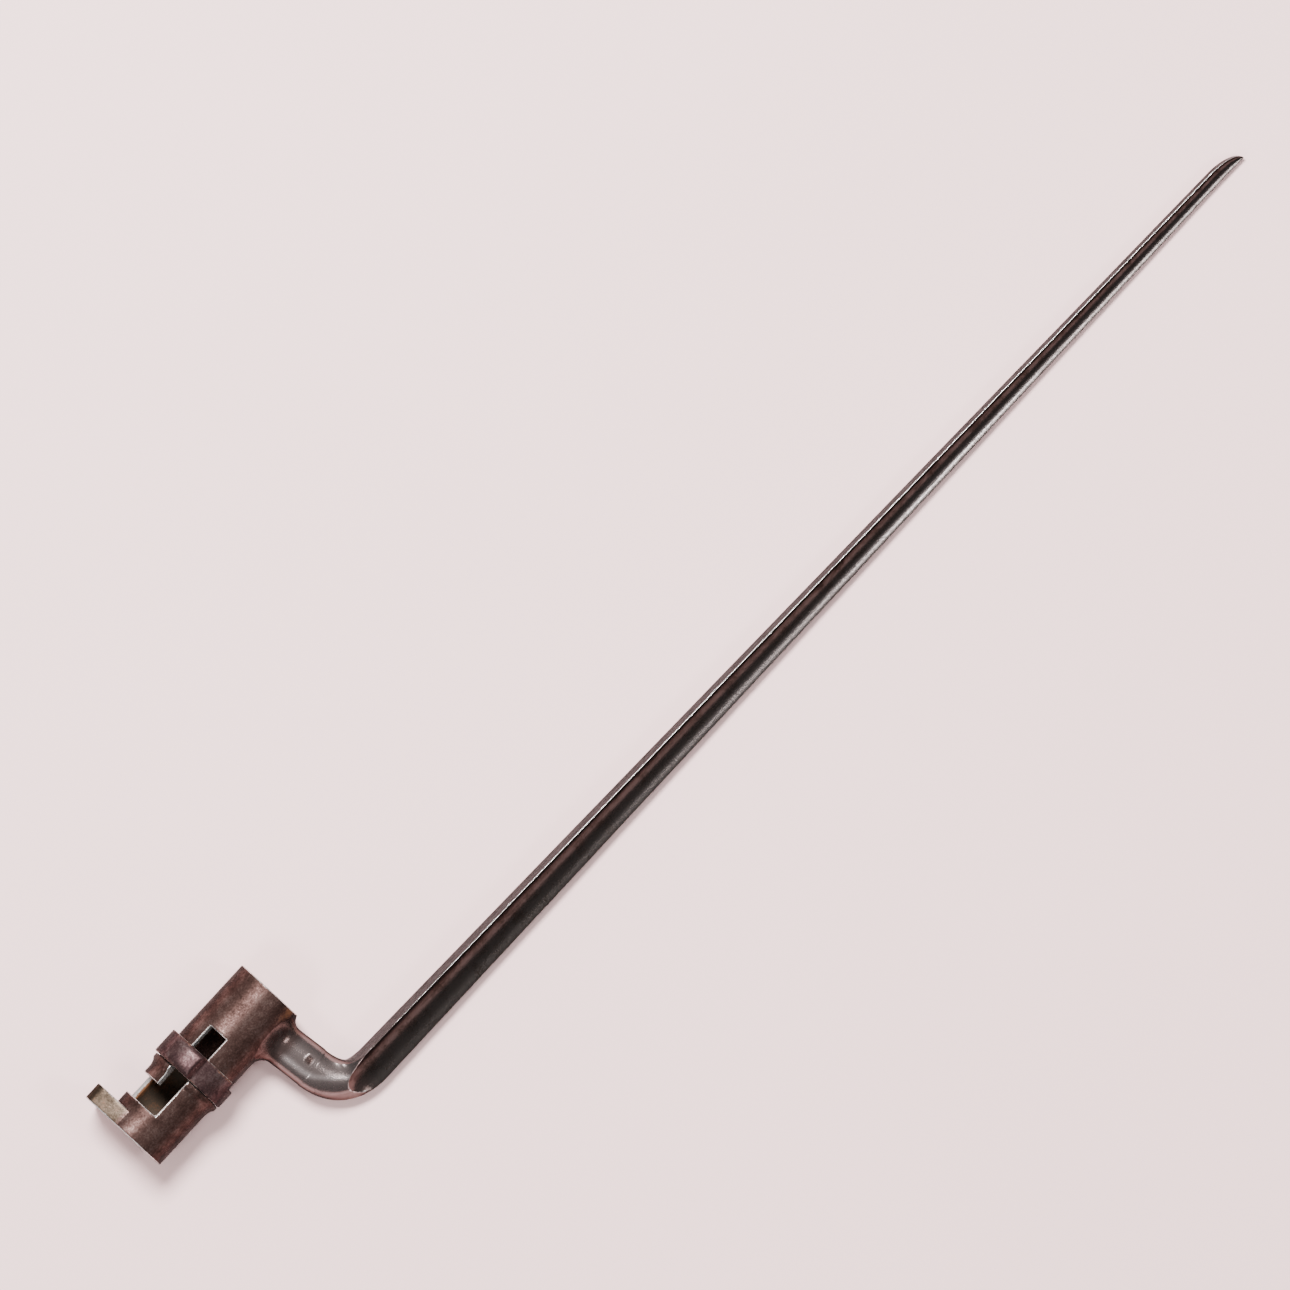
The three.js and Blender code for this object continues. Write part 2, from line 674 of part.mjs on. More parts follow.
// The downward direction in which the bayonet lies still on its side: square to the facet of its
// convex hull that has the centre of mass over it, the one nearest to the maker's underside.
function restingNormal(meshes) {
  const centre = centreOfMass(meshes);
  const hull = new ConvexHull().setFromPoints(cornersOf(meshes));
  const foot = new THREE.Vector3();
  const under = hull.faces.filter((face) => {
    foot.copy(centre).addScaledVector(face.normal, -face.distanceToPoint(centre));
    const points = [face.edge.tail(), face.edge.head(), face.edge.next.head()];
    const [a, b, c] = points.map((node) => node.point);
    return THREE.Triangle.containsPoint(foot, a, b, c);
  });
  under.sort((one, two) => one.normal.z - two.normal.z);
  return under[0].normal.clone();
}

// The turn that lays the bayonet down, keeping the socket's axis over +X.
function lyingTurn(meshes) {
  const up = restingNormal(meshes).negate();
  const forward = new THREE.Vector3(1, 0, 0).projectOnPlane(up).normalize();
  const left = new THREE.Vector3().crossVectors(up, forward);
  const lying = new THREE.Matrix4().makeBasis(forward, left, up);
  return new THREE.Quaternion().setFromRotationMatrix(lying.invert());
}

const bayonet = new THREE.Group();
bayonet.name = "socket_bayonet";
bayonet.add(...pieces);
bayonet.quaternion.copy(lyingTurn(pieces));
bayonet.updateMatrixWorld(true);
const box = new THREE.Box3().setFromObject(bayonet, true);
const middle = box.getCenter(new THREE.Vector3());
bayonet.position.set(-middle.x, -middle.y, -box.min.z);

const lying = new THREE.Group();
lying.add(bayonet);

export default lying;
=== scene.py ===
import json
import logging
import math
from dataclasses import dataclass, field
from enum import Enum

import bmesh
import bpy
import numpy as np
from mathutils import Matrix, Vector

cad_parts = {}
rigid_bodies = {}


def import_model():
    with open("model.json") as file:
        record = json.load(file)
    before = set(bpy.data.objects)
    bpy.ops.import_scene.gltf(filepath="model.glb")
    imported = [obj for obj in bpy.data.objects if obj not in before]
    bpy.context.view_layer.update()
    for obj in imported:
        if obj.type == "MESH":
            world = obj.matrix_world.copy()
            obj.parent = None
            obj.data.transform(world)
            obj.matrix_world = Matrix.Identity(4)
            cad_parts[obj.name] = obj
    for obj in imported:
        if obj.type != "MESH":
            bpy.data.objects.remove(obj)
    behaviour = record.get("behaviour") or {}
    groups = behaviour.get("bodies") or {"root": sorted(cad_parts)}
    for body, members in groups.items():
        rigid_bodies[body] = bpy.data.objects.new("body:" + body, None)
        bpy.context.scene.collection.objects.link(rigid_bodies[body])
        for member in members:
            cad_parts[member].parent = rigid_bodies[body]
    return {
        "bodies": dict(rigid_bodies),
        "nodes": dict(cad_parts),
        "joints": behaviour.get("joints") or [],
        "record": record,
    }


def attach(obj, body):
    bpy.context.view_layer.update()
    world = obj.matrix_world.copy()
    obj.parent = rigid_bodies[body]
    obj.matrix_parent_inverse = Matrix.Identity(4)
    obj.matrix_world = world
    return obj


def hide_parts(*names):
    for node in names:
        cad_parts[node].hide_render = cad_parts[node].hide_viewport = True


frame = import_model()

LOG = logging.getLogger("bayonet")
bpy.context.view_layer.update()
MM = 0.001
WELD = 1e-6
TINY = 1e-6
NUDGE = 1e-4
FAR = 1e3
ROUND_STEPS = (0.08, 0.3, 0.6, 1.0)
CROWDED = 0.35
LEAST_UPRIGHT = 0.02
ALONG_SOCKET = np.array([1.0, 0.0, 0.0])


class Body(Enum):
    """The moving bodies of the part."""

    BAYONET = "bayonet"
    RING = "ring"


class Streak(Enum):
    """The maker's axis along which wear has drawn a finish out."""

    ALONG = 0
    ACROSS = 1


# ---- The maker's frame ----


@dataclass(frozen=True)
class MakersFrame:
    """The smith's frame: x along the socket from its rear face, -y towards the arm, in millimetres."""

    origin: np.ndarray
    axes: np.ndarray

    @classmethod
    def from_part(cls, part: dict) -> "MakersFrame":
        """Find the frame from the ring's hinge and the blade's point.


        Returns:
            The frame whose x is the hinge's axis and whose -y goes square from it to the point.
        """
        joint = part["joints"][0]
        along = np.array(joint["axis"], dtype=float)
        along /= np.linalg.norm(along)
        on_axis = np.array(joint["pos_m"], dtype=float)
        corners = vertices_of(part["nodes"]["bayonet_body"])
        depth = corners @ along
        tip = corners[depth.argmax()] - on_axis
        down = tip - (tip @ along) * along
        down /= np.linalg.norm(down)
        origin = on_axis + (depth.min() - on_axis @ along) * along
        return cls(origin, np.column_stack([along, -down, np.cross(along, -down)]))

    def place(self, points: np.ndarray) -> np.ndarray:
        """Turn points in the maker's millimetres into metres of the object's frame."""
        return points * MM @ self.axes.T + self.origin

    def rotation(self) -> Matrix:
        """The turn that takes the maker's axes to the object's."""
        return Matrix(self.axes.tolist())


def vertices_of(node: bpy.types.Object) -> np.ndarray:
    """Read a mesh's vertices.

    Args:
        node: an object with its place in its mesh.

    Returns:
        The points in metres, one to a row.
    """
    flat = np.empty(len(node.data.vertices) * 3)
    node.data.vertices.foreach_get("co", flat)
    return flat.reshape(-1, 3)


def around(x: np.ndarray, radius: np.ndarray, angle: np.ndarray) -> np.ndarray:
    """Points at a place along the socket, a radius and an angle: (x, -r sin a, r cos a).

    Args:
        x: places along the axis, mm.
        radius: distances from the axis, mm.
        angle: degrees from the maker's +z, growing towards the arm.

    Returns:
        An array of points with one more axis than the broadcast inputs.
    """
    turn = np.radians(angle)
    x, y, z = np.broadcast_arrays(x, -radius * np.sin(turn), radius * np.cos(turn))
    return np.stack([x, y, z], axis=-1)


def outward(angle: float) -> np.ndarray:
    """The unit vector square to the socket's axis, at degrees from the maker's +z."""
    return around(np.array(0.0), np.array(1.0), np.array(angle))


# ---- Numbers for shapes ----


def smooth(share: np.ndarray) -> np.ndarray:
    """The cubic that rises from 0 at 0 to 1 at 1 with level ends: s s (3 - 2 s)."""
    share = np.clip(share, 0.0, 1.0)
    return share * share * (3.0 - 2.0 * share)


def lerp(start: np.ndarray, end: np.ndarray, share: np.ndarray) -> np.ndarray:
    """The straight blend from start to end: start + (end - start) share."""
    return start + (end - start) * share


def worn_round(distance: np.ndarray, width: float) -> np.ndarray:
    """How much a worn edge has dropped: w - sqrt(w^2 - (w - d)^2) within w of it, else nothing."""
    reach = np.clip(width - distance, 0.0, width)
    return width - np.sqrt(width * width - reach * reach)


def near(distance: np.ndarray, width: float) -> np.ndarray:
    """A mark that is 1 on an edge and fades away from it: exp(-(d / w)^2)."""
    return np.exp(-((distance / width) ** 2))


@dataclass(frozen=True)
class Spot:
    """A bell-shaped mark: where it is strongest, how wide it is and how strong."""

    place: float
    width: float
    share: float = 1.0

    def at(self, value: np.ndarray) -> np.ndarray:
        """The mark's strength at a value: share exp(-((v - place) / width)^2)."""
        return self.share * near(value - self.place, self.width)


@dataclass(frozen=True)
class Rise:
    """A smooth step: where it starts and how long it takes."""

    start: float
    length: float

    def at(self, value: np.ndarray) -> np.ndarray:
        """The step's height at a value, 0 before it to 1 after it."""
        return smooth((value - self.start) / self.length)


def beyond(value: np.ndarray, low: float, high: float) -> np.ndarray:
    """How far a value is outside the range from low to high, 0 within it."""
    return np.maximum(np.maximum(low - value, value - high), 0.0)


def curved(start: np.ndarray, corner: np.ndarray, end: np.ndarray, s: np.ndarray) -> np.ndarray:
    """The quadratic curve drawn to a corner: (1 - s)^2 A + 2 s (1 - s) C + s^2 B."""
    return (1 - s) ** 2 * start + 2 * s * (1 - s) * corner + s**2 * end


def ruled(edges: list[float], end: float, pitch: float, rounds: float) -> np.ndarray:
    """Grid lines from 0 to end at about one pitch, crowded at each edge so that it can be rounded.

    Args:
        edges: places where a surface turns a corner.
        end: the last line.
        pitch: the usual spacing.
        rounds: width of the rounding on each side of an edge.

    Returns:
        The lines in rising order.
    """
    shares = np.array(ROUND_STEPS) * rounds
    offsets = np.concatenate([-shares[::-1], [0.0], shares])
    crowded = (np.array(edges)[:, None] + offsets[None, :]).ravel()
    plain = np.linspace(0.0, end, int(round(end / pitch)) + 1)
    apart = np.abs(plain[:, None] - crowded[None, :]).min(axis=1) > pitch * CROWDED
    lines = np.concatenate([plain[apart], crowded, [0.0, end]])
    return np.unique(np.round(lines[(lines >= 0.0) & (lines <= end)], 5))


# ---- Meshes ----


def grid_quads(rows: int, columns: int, wrapped: bool) -> np.ndarray:
    """Corners of the quads of a grid of vertices, row by row.

    Args:
        rows: number of rows of vertices.
        columns: number of vertices in a row.
        wrapped: whether the last column joins the first.

    Returns:
        An array of four vertex numbers for each quad.
    """
    index = np.arange(rows * columns).reshape(rows, columns)
    right = np.roll(index, -1, axis=1)
    last = columns if wrapped else columns - 1
    corners = [index[:-1, :last], right[:-1, :last], right[1:, :last], index[1:, :last]]
    return np.stack([c.ravel() for c in corners], axis=1)


def walled_sheet(
    inner: np.ndarray, outer: np.ndarray, solid: np.ndarray, wrapped: bool
) -> tuple[np.ndarray, np.ndarray]:
    """Close a sheet with thickness that has windows in it.

    A cell of the grid is metal or open. Metal gets a quad on both surfaces, and a wall from one
    surface to the other wherever metal meets an open cell or the sheet's end.

    Args:
        inner: grid of points of the inner surface, (rows, columns, 3).
        outer: grid of points of the outer surface, the same shape.
        solid: which cells are metal, (rows - 1, columns - 1 or columns if wrapped).
        wrapped: whether the last column joins the first.

    Returns:
        The points and the quads.
    """
    rows, columns = inner.shape[:2]
    index = np.arange(rows * columns).reshape(rows, columns)
    if wrapped:
        index = np.concatenate([index, index[:, :1]], axis=1)
    above = index + rows * columns
    a, b, c, d = index[:-1, :-1], index[:-1, 1:], index[1:, 1:], index[1:, :-1]
    faces = [np.stack([q[solid] for q in (a, b, c, d)], axis=1)]
    raised = [q + rows * columns for q in (d, c, b, a)]
    faces.append(np.stack([q[solid] for q in raised], axis=1))
    open_row = np.zeros((1, solid.shape[1]), dtype=bool)
    along = np.diff(np.concatenate([open_row, solid, open_row]).astype(int), axis=0)
    faces += walls(index[:, :-1], index[:, 1:], above[:, :-1], above[:, 1:], along)
    if wrapped:
        across = solid.astype(int) - np.roll(solid, 1, axis=1).astype(int)
    else:
        open_column = np.zeros((solid.shape[0], 1), dtype=bool)
        across = np.diff(np.concatenate([open_column, solid, open_column], axis=1).astype(int), axis=1)
    low, high = index[:, :columns], above[:, :columns]
    faces += walls(low[1:], low[:-1], high[1:], high[:-1], across)
    points = np.concatenate([inner.reshape(-1, 3), outer.reshape(-1, 3)])
    return points, np.concatenate(faces)


def walls(
    low_a: np.ndarray, low_b: np.ndarray, high_a: np.ndarray, high_b: np.ndarray, step: np.ndarray
) -> list[np.ndarray]:
    """Quads of the walls where metal begins and where it ends.

    Args:
        low_a: vertex numbers of the inner surface at one end of each edge.
        low_b: the same at the edge's other end.
        high_a: vertex numbers of the outer surface above low_a.
        high_b: those above low_b.
        step: 1 on an edge where metal begins, -1 where it ends, else 0.

    Returns:
        The quads of the two kinds of walls.
    """
    begin, end = step > 0, step < 0
    first = np.stack([low_a[begin], high_a[begin], high_b[begin], low_b[begin]], axis=1)
    second = np.stack([low_b[end], high_b[end], high_a[end], low_a[end]], axis=1)
    return [first, second]


def into_scene(name: str, data: bpy.types.ID) -> bpy.types.Object:
    """Make an object of the data and link it into the scene.

    Args:
        name: the object's name.
        data: its mesh, lamp or camera.

    Returns:
        The object.
    """
    made = bpy.data.objects.new(name, data)
    bpy.context.scene.collection.objects.link(made)
    return made


@dataclass
class Piece:
    """A mesh with its marks and its finish, on its way into the scene."""

    name: str
    points: np.ndarray
    faces: list
    marks: dict[str, np.ndarray]
    finish: "AgedSteel"
    crease: float = 38.0

    def build(self, maker: MakersFrame) -> bpy.types.Object:
        """Make the object: weld it, point its faces outwards, shade it smooth and dress it.

        Args:
            maker: the frame that the points are given in.

        Returns:
            The object, at the origin, with its place in its mesh.
        """
        mesh = bpy.data.meshes.new(self.name)
        mesh.from_pydata(maker.place(self.points).tolist(), [], self.faces)
        for mark, values in self.marks.items():
            layer = mesh.attributes.new(mark, "FLOAT", "POINT")
            layer.data.foreach_set("value", np.asarray(values, dtype=np.float32).ravel())
        work = bmesh.new()
        work.from_mesh(mesh)
        bmesh.ops.remove_doubles(work, verts=work.verts, dist=WELD)
        bmesh.ops.dissolve_degenerate(work, edges=work.edges, dist=WELD)
        loose = [v for v in work.verts if not v.link_faces]
        bmesh.ops.delete(work, geom=loose, context="VERTS")
        bmesh.ops.recalc_face_normals(work, faces=work.faces)
        work.to_mesh(mesh)
        work.free()
        mesh.shade_smooth()
        mesh.set_sharp_from_angle(angle=math.radians(self.crease))
        made = into_scene(self.name, mesh)
        mesh.materials.append(self.finish.material(maker))
        return made


def closed_loft(rows: np.ndarray) -> tuple[np.ndarray, list]:
    """Close a tube of rows with a vertex at the middle of its first and last rows.

    Args:
        rows: grid of points, (rows, columns, 3), each row a closed ring.

    Returns:
        The points, the two poles last, and the faces.
    """
    count, columns = rows.shape[:2]
    poles = [rows[0].mean(axis=0)[None], rows[-1].mean(axis=0)[None]]
    points = np.concatenate([rows.reshape(-1, 3), *poles])
    ring = np.arange(columns)
    following = np.roll(ring, -1)
    start = np.stack([following, ring, np.full(columns, count * columns)], axis=1)
    last = (count - 1) * columns
    end = np.stack([ring + last, following + last, np.full(columns, count * columns + 1)], axis=1)
    faces = grid_quads(count, columns, True).tolist() + start.tolist() + end.tolist()
    return points, faces


# ---- Finishes ----

Colour = tuple[float, float, float, float]
Wire = bpy.types.NodeSocket


def tone(red: float, green: float, blue: float) -> Colour:
    """A colour that fills a socket, from its linear red, green and blue."""
    return (red, green, blue, 1.0)


@dataclass(frozen=True)
class Grain:
    """A fractal noise: cells to the metre, octaves, and how much the fine ones count."""

    scale: float
    detail: float
    rough: float


BLOTCH = Grain(170.0, 6.0, 0.62)
MOTTLE = Grain(1400.0, 4.0, 0.6)
STREAKS = Grain(900.0, 5.0, 0.65)
CLOUD = Grain(6.0, 3.0, 0.5)


@dataclass(frozen=True)
class Coat:
    """How a state of the steel takes light."""

    roughness: float
    metallic: float


RUSTED = Coat(0.8, 0.05)
DARKENED = Coat(0.75, 0.1)
POLISHED = Coat(0.24, 0.9)
BARE = Coat(0.24, 0.95)


@dataclass(frozen=True)
class Patches:
    """How noise breaks a mark of the mesh into patches.

    Noise that runs from -spread / 2 to spread / 2 is added to the mark. The sum shows smoothly
    from low to high, and only where the mark itself has grown through its trace.
    """

    mark: str
    shares: tuple[float, float]
    spread: float
    low: float
    high: float
    trace: tuple[float, float]


WEAR_AND_HIGHLIGHT_PATCHES = Patches("wear", (0.4, 0.6), 1.6, 0.42, 0.85, (0.04, 0.25))
RUST_PATCHES = Patches("rust", (0.65, 0.35), 2.4, 0.2, 0.8, (0.02, 0.2))


@dataclass(frozen=True)
class AgedSteel:
    """Steel under an old brown patina, rubbed bright on its edges, with rust in its corners; its bright
    and polished colours also carry the painted highlights and painted reflection that the marks lay on.
    """

    name: str
    dark: Colour
    middle: Colour
    light: Colour
    # Worn bare steel, made light enough to stand also for painted highlights.
    bare_and_highlight: Colour = tone(0.80, 0.77, 0.75)
    polish_and_highlight_tone: Colour = tone(0.46, 0.39, 0.38)
    grazing: Colour = tone(0.12, 0.11, 0.11)
    rust: Colour = tone(0.125, 0.052, 0.024)
    inner_dark: Colour = tone(0.046, 0.034, 0.025)
    ground: tuple[Colour, Colour, Colour] | None = None
    tone_stops: tuple[float, float, float] = (0.38, 0.5, 0.62)
    blotch_share: float = 0.52
    mottle_share: float = 0.36
    streak_share: float = 0.12
    streak: Streak = Streak.ALONG
    streak_draw: float = 0.07
    metallic: float = 0.75
    roughness: float = 0.38
    dark_rougher: float = 0.1
    light_smoother: float = 0.08
    rough_range: tuple[float, float] = (0.35, 0.65)
    specular_level: float = 0.25
    bright_share: float = 0.85
    rust_share: float = 0.85
    pits: float = 0.35
    pit_scale: float = 900.0
    pit_reach: float = 0.35
    pit_range: tuple[float, float] = (0.5, 0.66)
    mottle_height: float = 0.5
    relief: float = 0.35
    relief_height: float = 0.00022

    def material(self, maker: MakersFrame) -> bpy.types.Material:
        """Lay the finish out as nodes.

        Args:
            maker: the frame along whose axes wear has drawn the streaks.

        Returns:
            The material.
        """
        made = bpy.data.materials.new(self.name)
        made.use_nodes = True
        tree = NodeBoard(made.node_tree)
        place = tree.add("ShaderNodeTexCoord").outputs["Object"]
        along = self._drawn(tree, place, maker)
        blotch, mottle = tree.noise(place, BLOTCH), tree.noise(place, MOTTLE)
        streak = tree.noise(along, STREAKS)
        shares = (self.blotch_share, self.mottle_share, self.streak_share)
        mixed = tree.weigh((blotch, mottle, streak), shares)
        patina = self._toned(tree, mixed, (self.dark, self.middle, self.light))
        if self.ground:
            patina = tree.blend(tree.mark("ground"), patina, self._toned(tree, mixed, self.ground))
        # The wear mark carries worn steel and also painted highlights and a painted reflection, all in
        # the bright colour.
        wear = self._patched(tree, WEAR_AND_HIGHLIGHT_PATCHES, (mottle, streak), self.bright_share)
        rust = self._patched(tree, RUST_PATCHES, (blotch, mottle), self.rust_share)
        inside, polish = tree.mark("inside"), tree.mark("polish")
        colour = tree.blend(rust, tree.blend(inside, patina, self.inner_dark), self.rust)
        # Polish, with its painted highlights and painted reflection, shows the polished tone; wear
        # shows the bright tone.
        colour = tree.blend(wear, tree.blend(polish, colour, self.polish_and_highlight_tone), self.bare_and_highlight)
        body = tree.shader.inputs
        tree.link(colour, body["Base Color"])
        dull, shiny = self.roughness + self.dark_rougher, self.roughness - self.light_smoother
        rough = tree.span(mixed, *self.rough_range, dull, shiny)
        metal = self.metallic
        for share, coat in ((rust, RUSTED), (inside, DARKENED), (polish, POLISHED), (wear, BARE)):
            rough = tree.mix(share, rough, coat.roughness)
            metal = tree.mix(share, metal, coat.metallic)
        tree.link(rough, body["Roughness"])
        tree.link(metal, body["Metallic"])
        body["Specular Tint"].default_value = self.grazing
        body["Specular IOR Level"].default_value = self.specular_level
        tree.link(self._relief(tree, place, mottle, blotch), body["Normal"])
        return made

    def _toned(self, tree: "NodeBoard", mixed: Wire, tones: tuple[Colour, Colour, Colour]) -> Wire:
        """The patina's colours, dark to light, spread over the mixed noises."""
        return tree.ramp(mixed, list(zip(self.tone_stops, tones)))

    def _drawn(self, tree: "NodeBoard", place: Wire, maker: MakersFrame) -> Wire:
        """Turn coordinates to the maker's axes and draw them out along one of them.

        Args:
            tree: the material's nodes.
            place: the object's own coordinates.
            maker: the frame to turn to.

        Returns:
            The drawn coordinates.
        """
        turn = tree.add("ShaderNodeMapping")
        turn.inputs["Rotation"].default_value = maker.rotation().inverted().to_euler()
        tree.link(place, turn.inputs["Vector"])
        draw = tree.add("ShaderNodeMapping")
        scale = [1.0, 1.0, 1.0]
        scale[self.streak.value] = self.streak_draw
        draw.inputs["Scale"].default_value = scale
        tree.link(turn.outputs["Vector"], draw.inputs["Vector"])
        return draw.outputs["Vector"]

    def _patched(
        self, tree: "NodeBoard", kind: Patches, noises: tuple[Wire, Wire], most: float
    ) -> Wire:
        """Break one of the mesh's marks into patches.

        Args:
            tree: the material's nodes.
            kind: which mark, and how noise breaks it up.
            noises: the noises that kind.shares weighs.
            most: the share where a patch is fullest.

        Returns:
            How much of the patches' own colour to show.
        """
        grain = tree.weigh(noises, kind.shares)
        lifted = tree.math("MULTIPLY_ADD", grain, kind.spread, -kind.spread / 2)
        summed = tree.math("ADD", tree.mark(kind.mark), lifted)
        seen = tree.span(summed, kind.low, kind.high, 0.0, most)
        return tree.math("MULTIPLY", seen, tree.span(tree.mark(kind.mark), *kind.trace, 0.0, 1.0))

    def _relief(self, tree: "NodeBoard", place: Wire, mottle: Wire, blotch: Wire) -> Wire:
        """Lay out the small relief of old steel: grain, and pits where it has rusted.

        Args:
            tree: the material's nodes.
            place: the object's own coordinates.
            mottle: the noise that makes the grain.
            blotch: the noise that says where the pits are.

        Returns:
            The normal.
        """
        cells = tree.add("ShaderNodeTexVoronoi")
        cells.inputs["Scale"].default_value = self.pit_scale
        tree.link(place, cells.inputs["Vector"])
        pit = tree.span(cells.outputs["Distance"], 0.0, self.pit_reach, 0.0, 1.0)
        sparse = tree.span(blotch, *self.pit_range, 0.0, self.pits)
        pitted = tree.math("MULTIPLY", tree.math("SUBTRACT", 1.0, pit), sparse)
        raised = tree.math("MULTIPLY", mottle, self.mottle_height)
        bump = tree.add("ShaderNodeBump")
        bump.inputs["Strength"].default_value = self.relief
        bump.inputs["Distance"].default_value = self.relief_height
        tree.link(tree.math("SUBTRACT", raised, pitted), bump.inputs["Height"])
        return bump.outputs["Normal"]


class NodeBoard:
    """A material's nodes, with short words for the ones that the finishes use."""

    def __init__(self, tree: bpy.types.NodeTree) -> None:
        """Start from the tree's own shader.

        Args:
            tree: the material's node tree, with its first shader in it.
        """
        self.tree = tree
        self.shader = tree.nodes["Principled BSDF"]

    def add(self, kind: str) -> bpy.types.Node:
        """A new node of that kind."""
        return self.tree.nodes.new(kind)

    def link(self, source: Wire, target: Wire) -> None:
        """Join two sockets."""
        self.tree.links.new(source, target)

    def feed(self, value: object, target: Wire) -> None:
        """Put a number or colour on a socket, or link another socket to it.

        Args:
            value: a number, a colour or the socket of another node.
            target: the socket that takes it.
        """
        if isinstance(value, Wire):
            self.link(value, target)
        else:
            target.default_value = value

    def mark(self, name: str) -> Wire:
        """Read one of the mesh's own marks.

        Args:
            name: the mark's name.

        Returns:
            Its value, 0 where the mesh has none.
        """
        node = self.add("ShaderNodeAttribute")
        node.attribute_name = name
        return node.outputs["Fac"]

    def noise(self, place: Wire, grain: Grain) -> Wire:
        """Add a fractal noise.

        Args:
            place: the coordinates to read it at.
            grain: its size and its octaves.

        Returns:
            The noise, about 0.5 in the middle.
        """
        node = self.add("ShaderNodeTexNoise")
        node.inputs["Scale"].default_value = grain.scale
        node.inputs["Detail"].default_value = grain.detail
        node.inputs["Roughness"].default_value = grain.rough
        self.link(place, node.inputs["Vector"])
        return node.outputs["Fac"]

    def math(self, operation: str, *values: object) -> Wire:
        """Do one step of arithmetic.

        Args:
            operation: its name.
            values: numbers or sockets, in the operation's order.

        Returns:
            The result.
        """
        node = self.add("ShaderNodeMath")
        node.operation = operation
        for value, target in zip(values, node.inputs):
            self.feed(value, target)
        return node.outputs[0]

    def weigh(self, parts: tuple[Wire, ...], weights: tuple[float, ...]) -> Wire:
        """Sum some parts, each times its weight.

        Args:
            parts: the sockets to sum.
            weights: a weight for each.

        Returns:
            The sum.
        """
        total = self.math("MULTIPLY", parts[0], weights[0])
        for part, weight in zip(parts[1:], weights[1:]):
            total = self.math("MULTIPLY_ADD", part, weight, total)
        return total

    def span(self, value: Wire, low: float, high: float, at_low: float, at_high: float) -> Wire:
        """Carry a value smoothly from one range to another, and hold it at its ends.

        Args:
            value: the socket to read.
            low: where the first range starts.
            high: where it ends.
            at_low: the result up to low.
            at_high: the result from high on.

        Returns:
            The carried value.
        """
        node = self.add("ShaderNodeMapRange")
        node.interpolation_type = "SMOOTHSTEP"
        ends = {"From Min": low, "From Max": high, "To Min": at_low, "To Max": at_high}
        for name, number in ends.items():
            node.inputs[name].default_value = number
        self.feed(value, node.inputs["Value"])
        return node.outputs["Result"]

    def mix(self, share: object, start: object, end: object) -> Wire:
        """Blend two numbers.

        Args:
            share: 0 for start, 1 for end.
            start: a number or a socket.
            end: a number or a socket.

        Returns:
            The number between them.
        """
        node = self.add("ShaderNodeMix")
        node.data_type = "FLOAT"
        for name, value in (("Factor", share), ("A", start), ("B", end)):
            self.feed(value, node.inputs[name])
        return node.outputs["Result"]

    def blend(self, share: object, start: object, end: object) -> Wire:
        """Blend two colours, whose sockets are the mix node's seventh and eighth.

        Args:
            share: 0 for start, 1 for end.
            start: a colour or a socket.
            end: a colour or a socket.

        Returns:
            The colour between them.
        """
        node = self.add("ShaderNodeMix")
        node.data_type = "RGBA"
        for number, value in ((0, share), (6, start), (7, end)):
            self.feed(value, node.inputs[number])
        return node.outputs[2]

    def ramp(self, value: Wire, stops: list[tuple[float, Colour]]) -> Wire:
        """Look a colour up between stops.

        Args:
            value: the place to look at, 0 to 1.
            stops: places and their colours, in rising order.

        Returns:
            The colour.
        """
        node = self.add("ShaderNodeValToRGB")
        fill(node.color_ramp, stops)
        self.link(value, node.inputs["Fac"])
        return node.outputs["Color"]


def fill(ramp: bpy.types.ColorRamp, stops: list[tuple[float, Colour]]) -> None:
    """Put stops on a colour ramp, adding the ones that it doesn't have yet.

    Args:
        ramp: the ramp.
        stops: places and their colours, in rising order.
    """
    while len(ramp.elements) < len(stops):
        ramp.elements.new(0.5)
    for element, (place, colour) in zip(ramp.elements, stops):
        element.position = place
        element.color = colour


SOCKET_PATINA = AgedSteel(
    "socket_patina",
    dark=tone(0.024, 0.013, 0.011),
    middle=tone(0.054, 0.030, 0.026),
    light=tone(0.108, 0.070, 0.062),
    ground=(tone(0.020, 0.014, 0.010), tone(0.034, 0.024, 0.017), tone(0.058, 0.043, 0.033)),
)
RING_PATINA = AgedSteel(
    "ring_patina",
    dark=tone(0.024, 0.013, 0.014),
    middle=tone(0.054, 0.031, 0.031),
    light=tone(0.115, 0.078, 0.076),
    streak=Streak.ACROSS,
)
BLADE_PATINA = AgedSteel(
    "blade_patina",
    dark=tone(0.026, 0.014, 0.013),
    middle=tone(0.058, 0.034, 0.031),
    light=tone(0.115, 0.080, 0.074),
    metallic=0.88,
    roughness=0.30,
    streak_draw=0.03,
    streak_share=0.3,
    pits=0.2,
    ground=(tone(0.019, 0.014, 0.012), tone(0.033, 0.026, 0.023), tone(0.060, 0.050, 0.047)),
)
PIN_PATINA = AgedSteel(
    "pin_patina",
    dark=tone(0.02, 0.012, 0.010),
    middle=tone(0.05, 0.03, 0.025),
    light=tone(0.11, 0.08, 0.07),
)


# ---- The socket ----


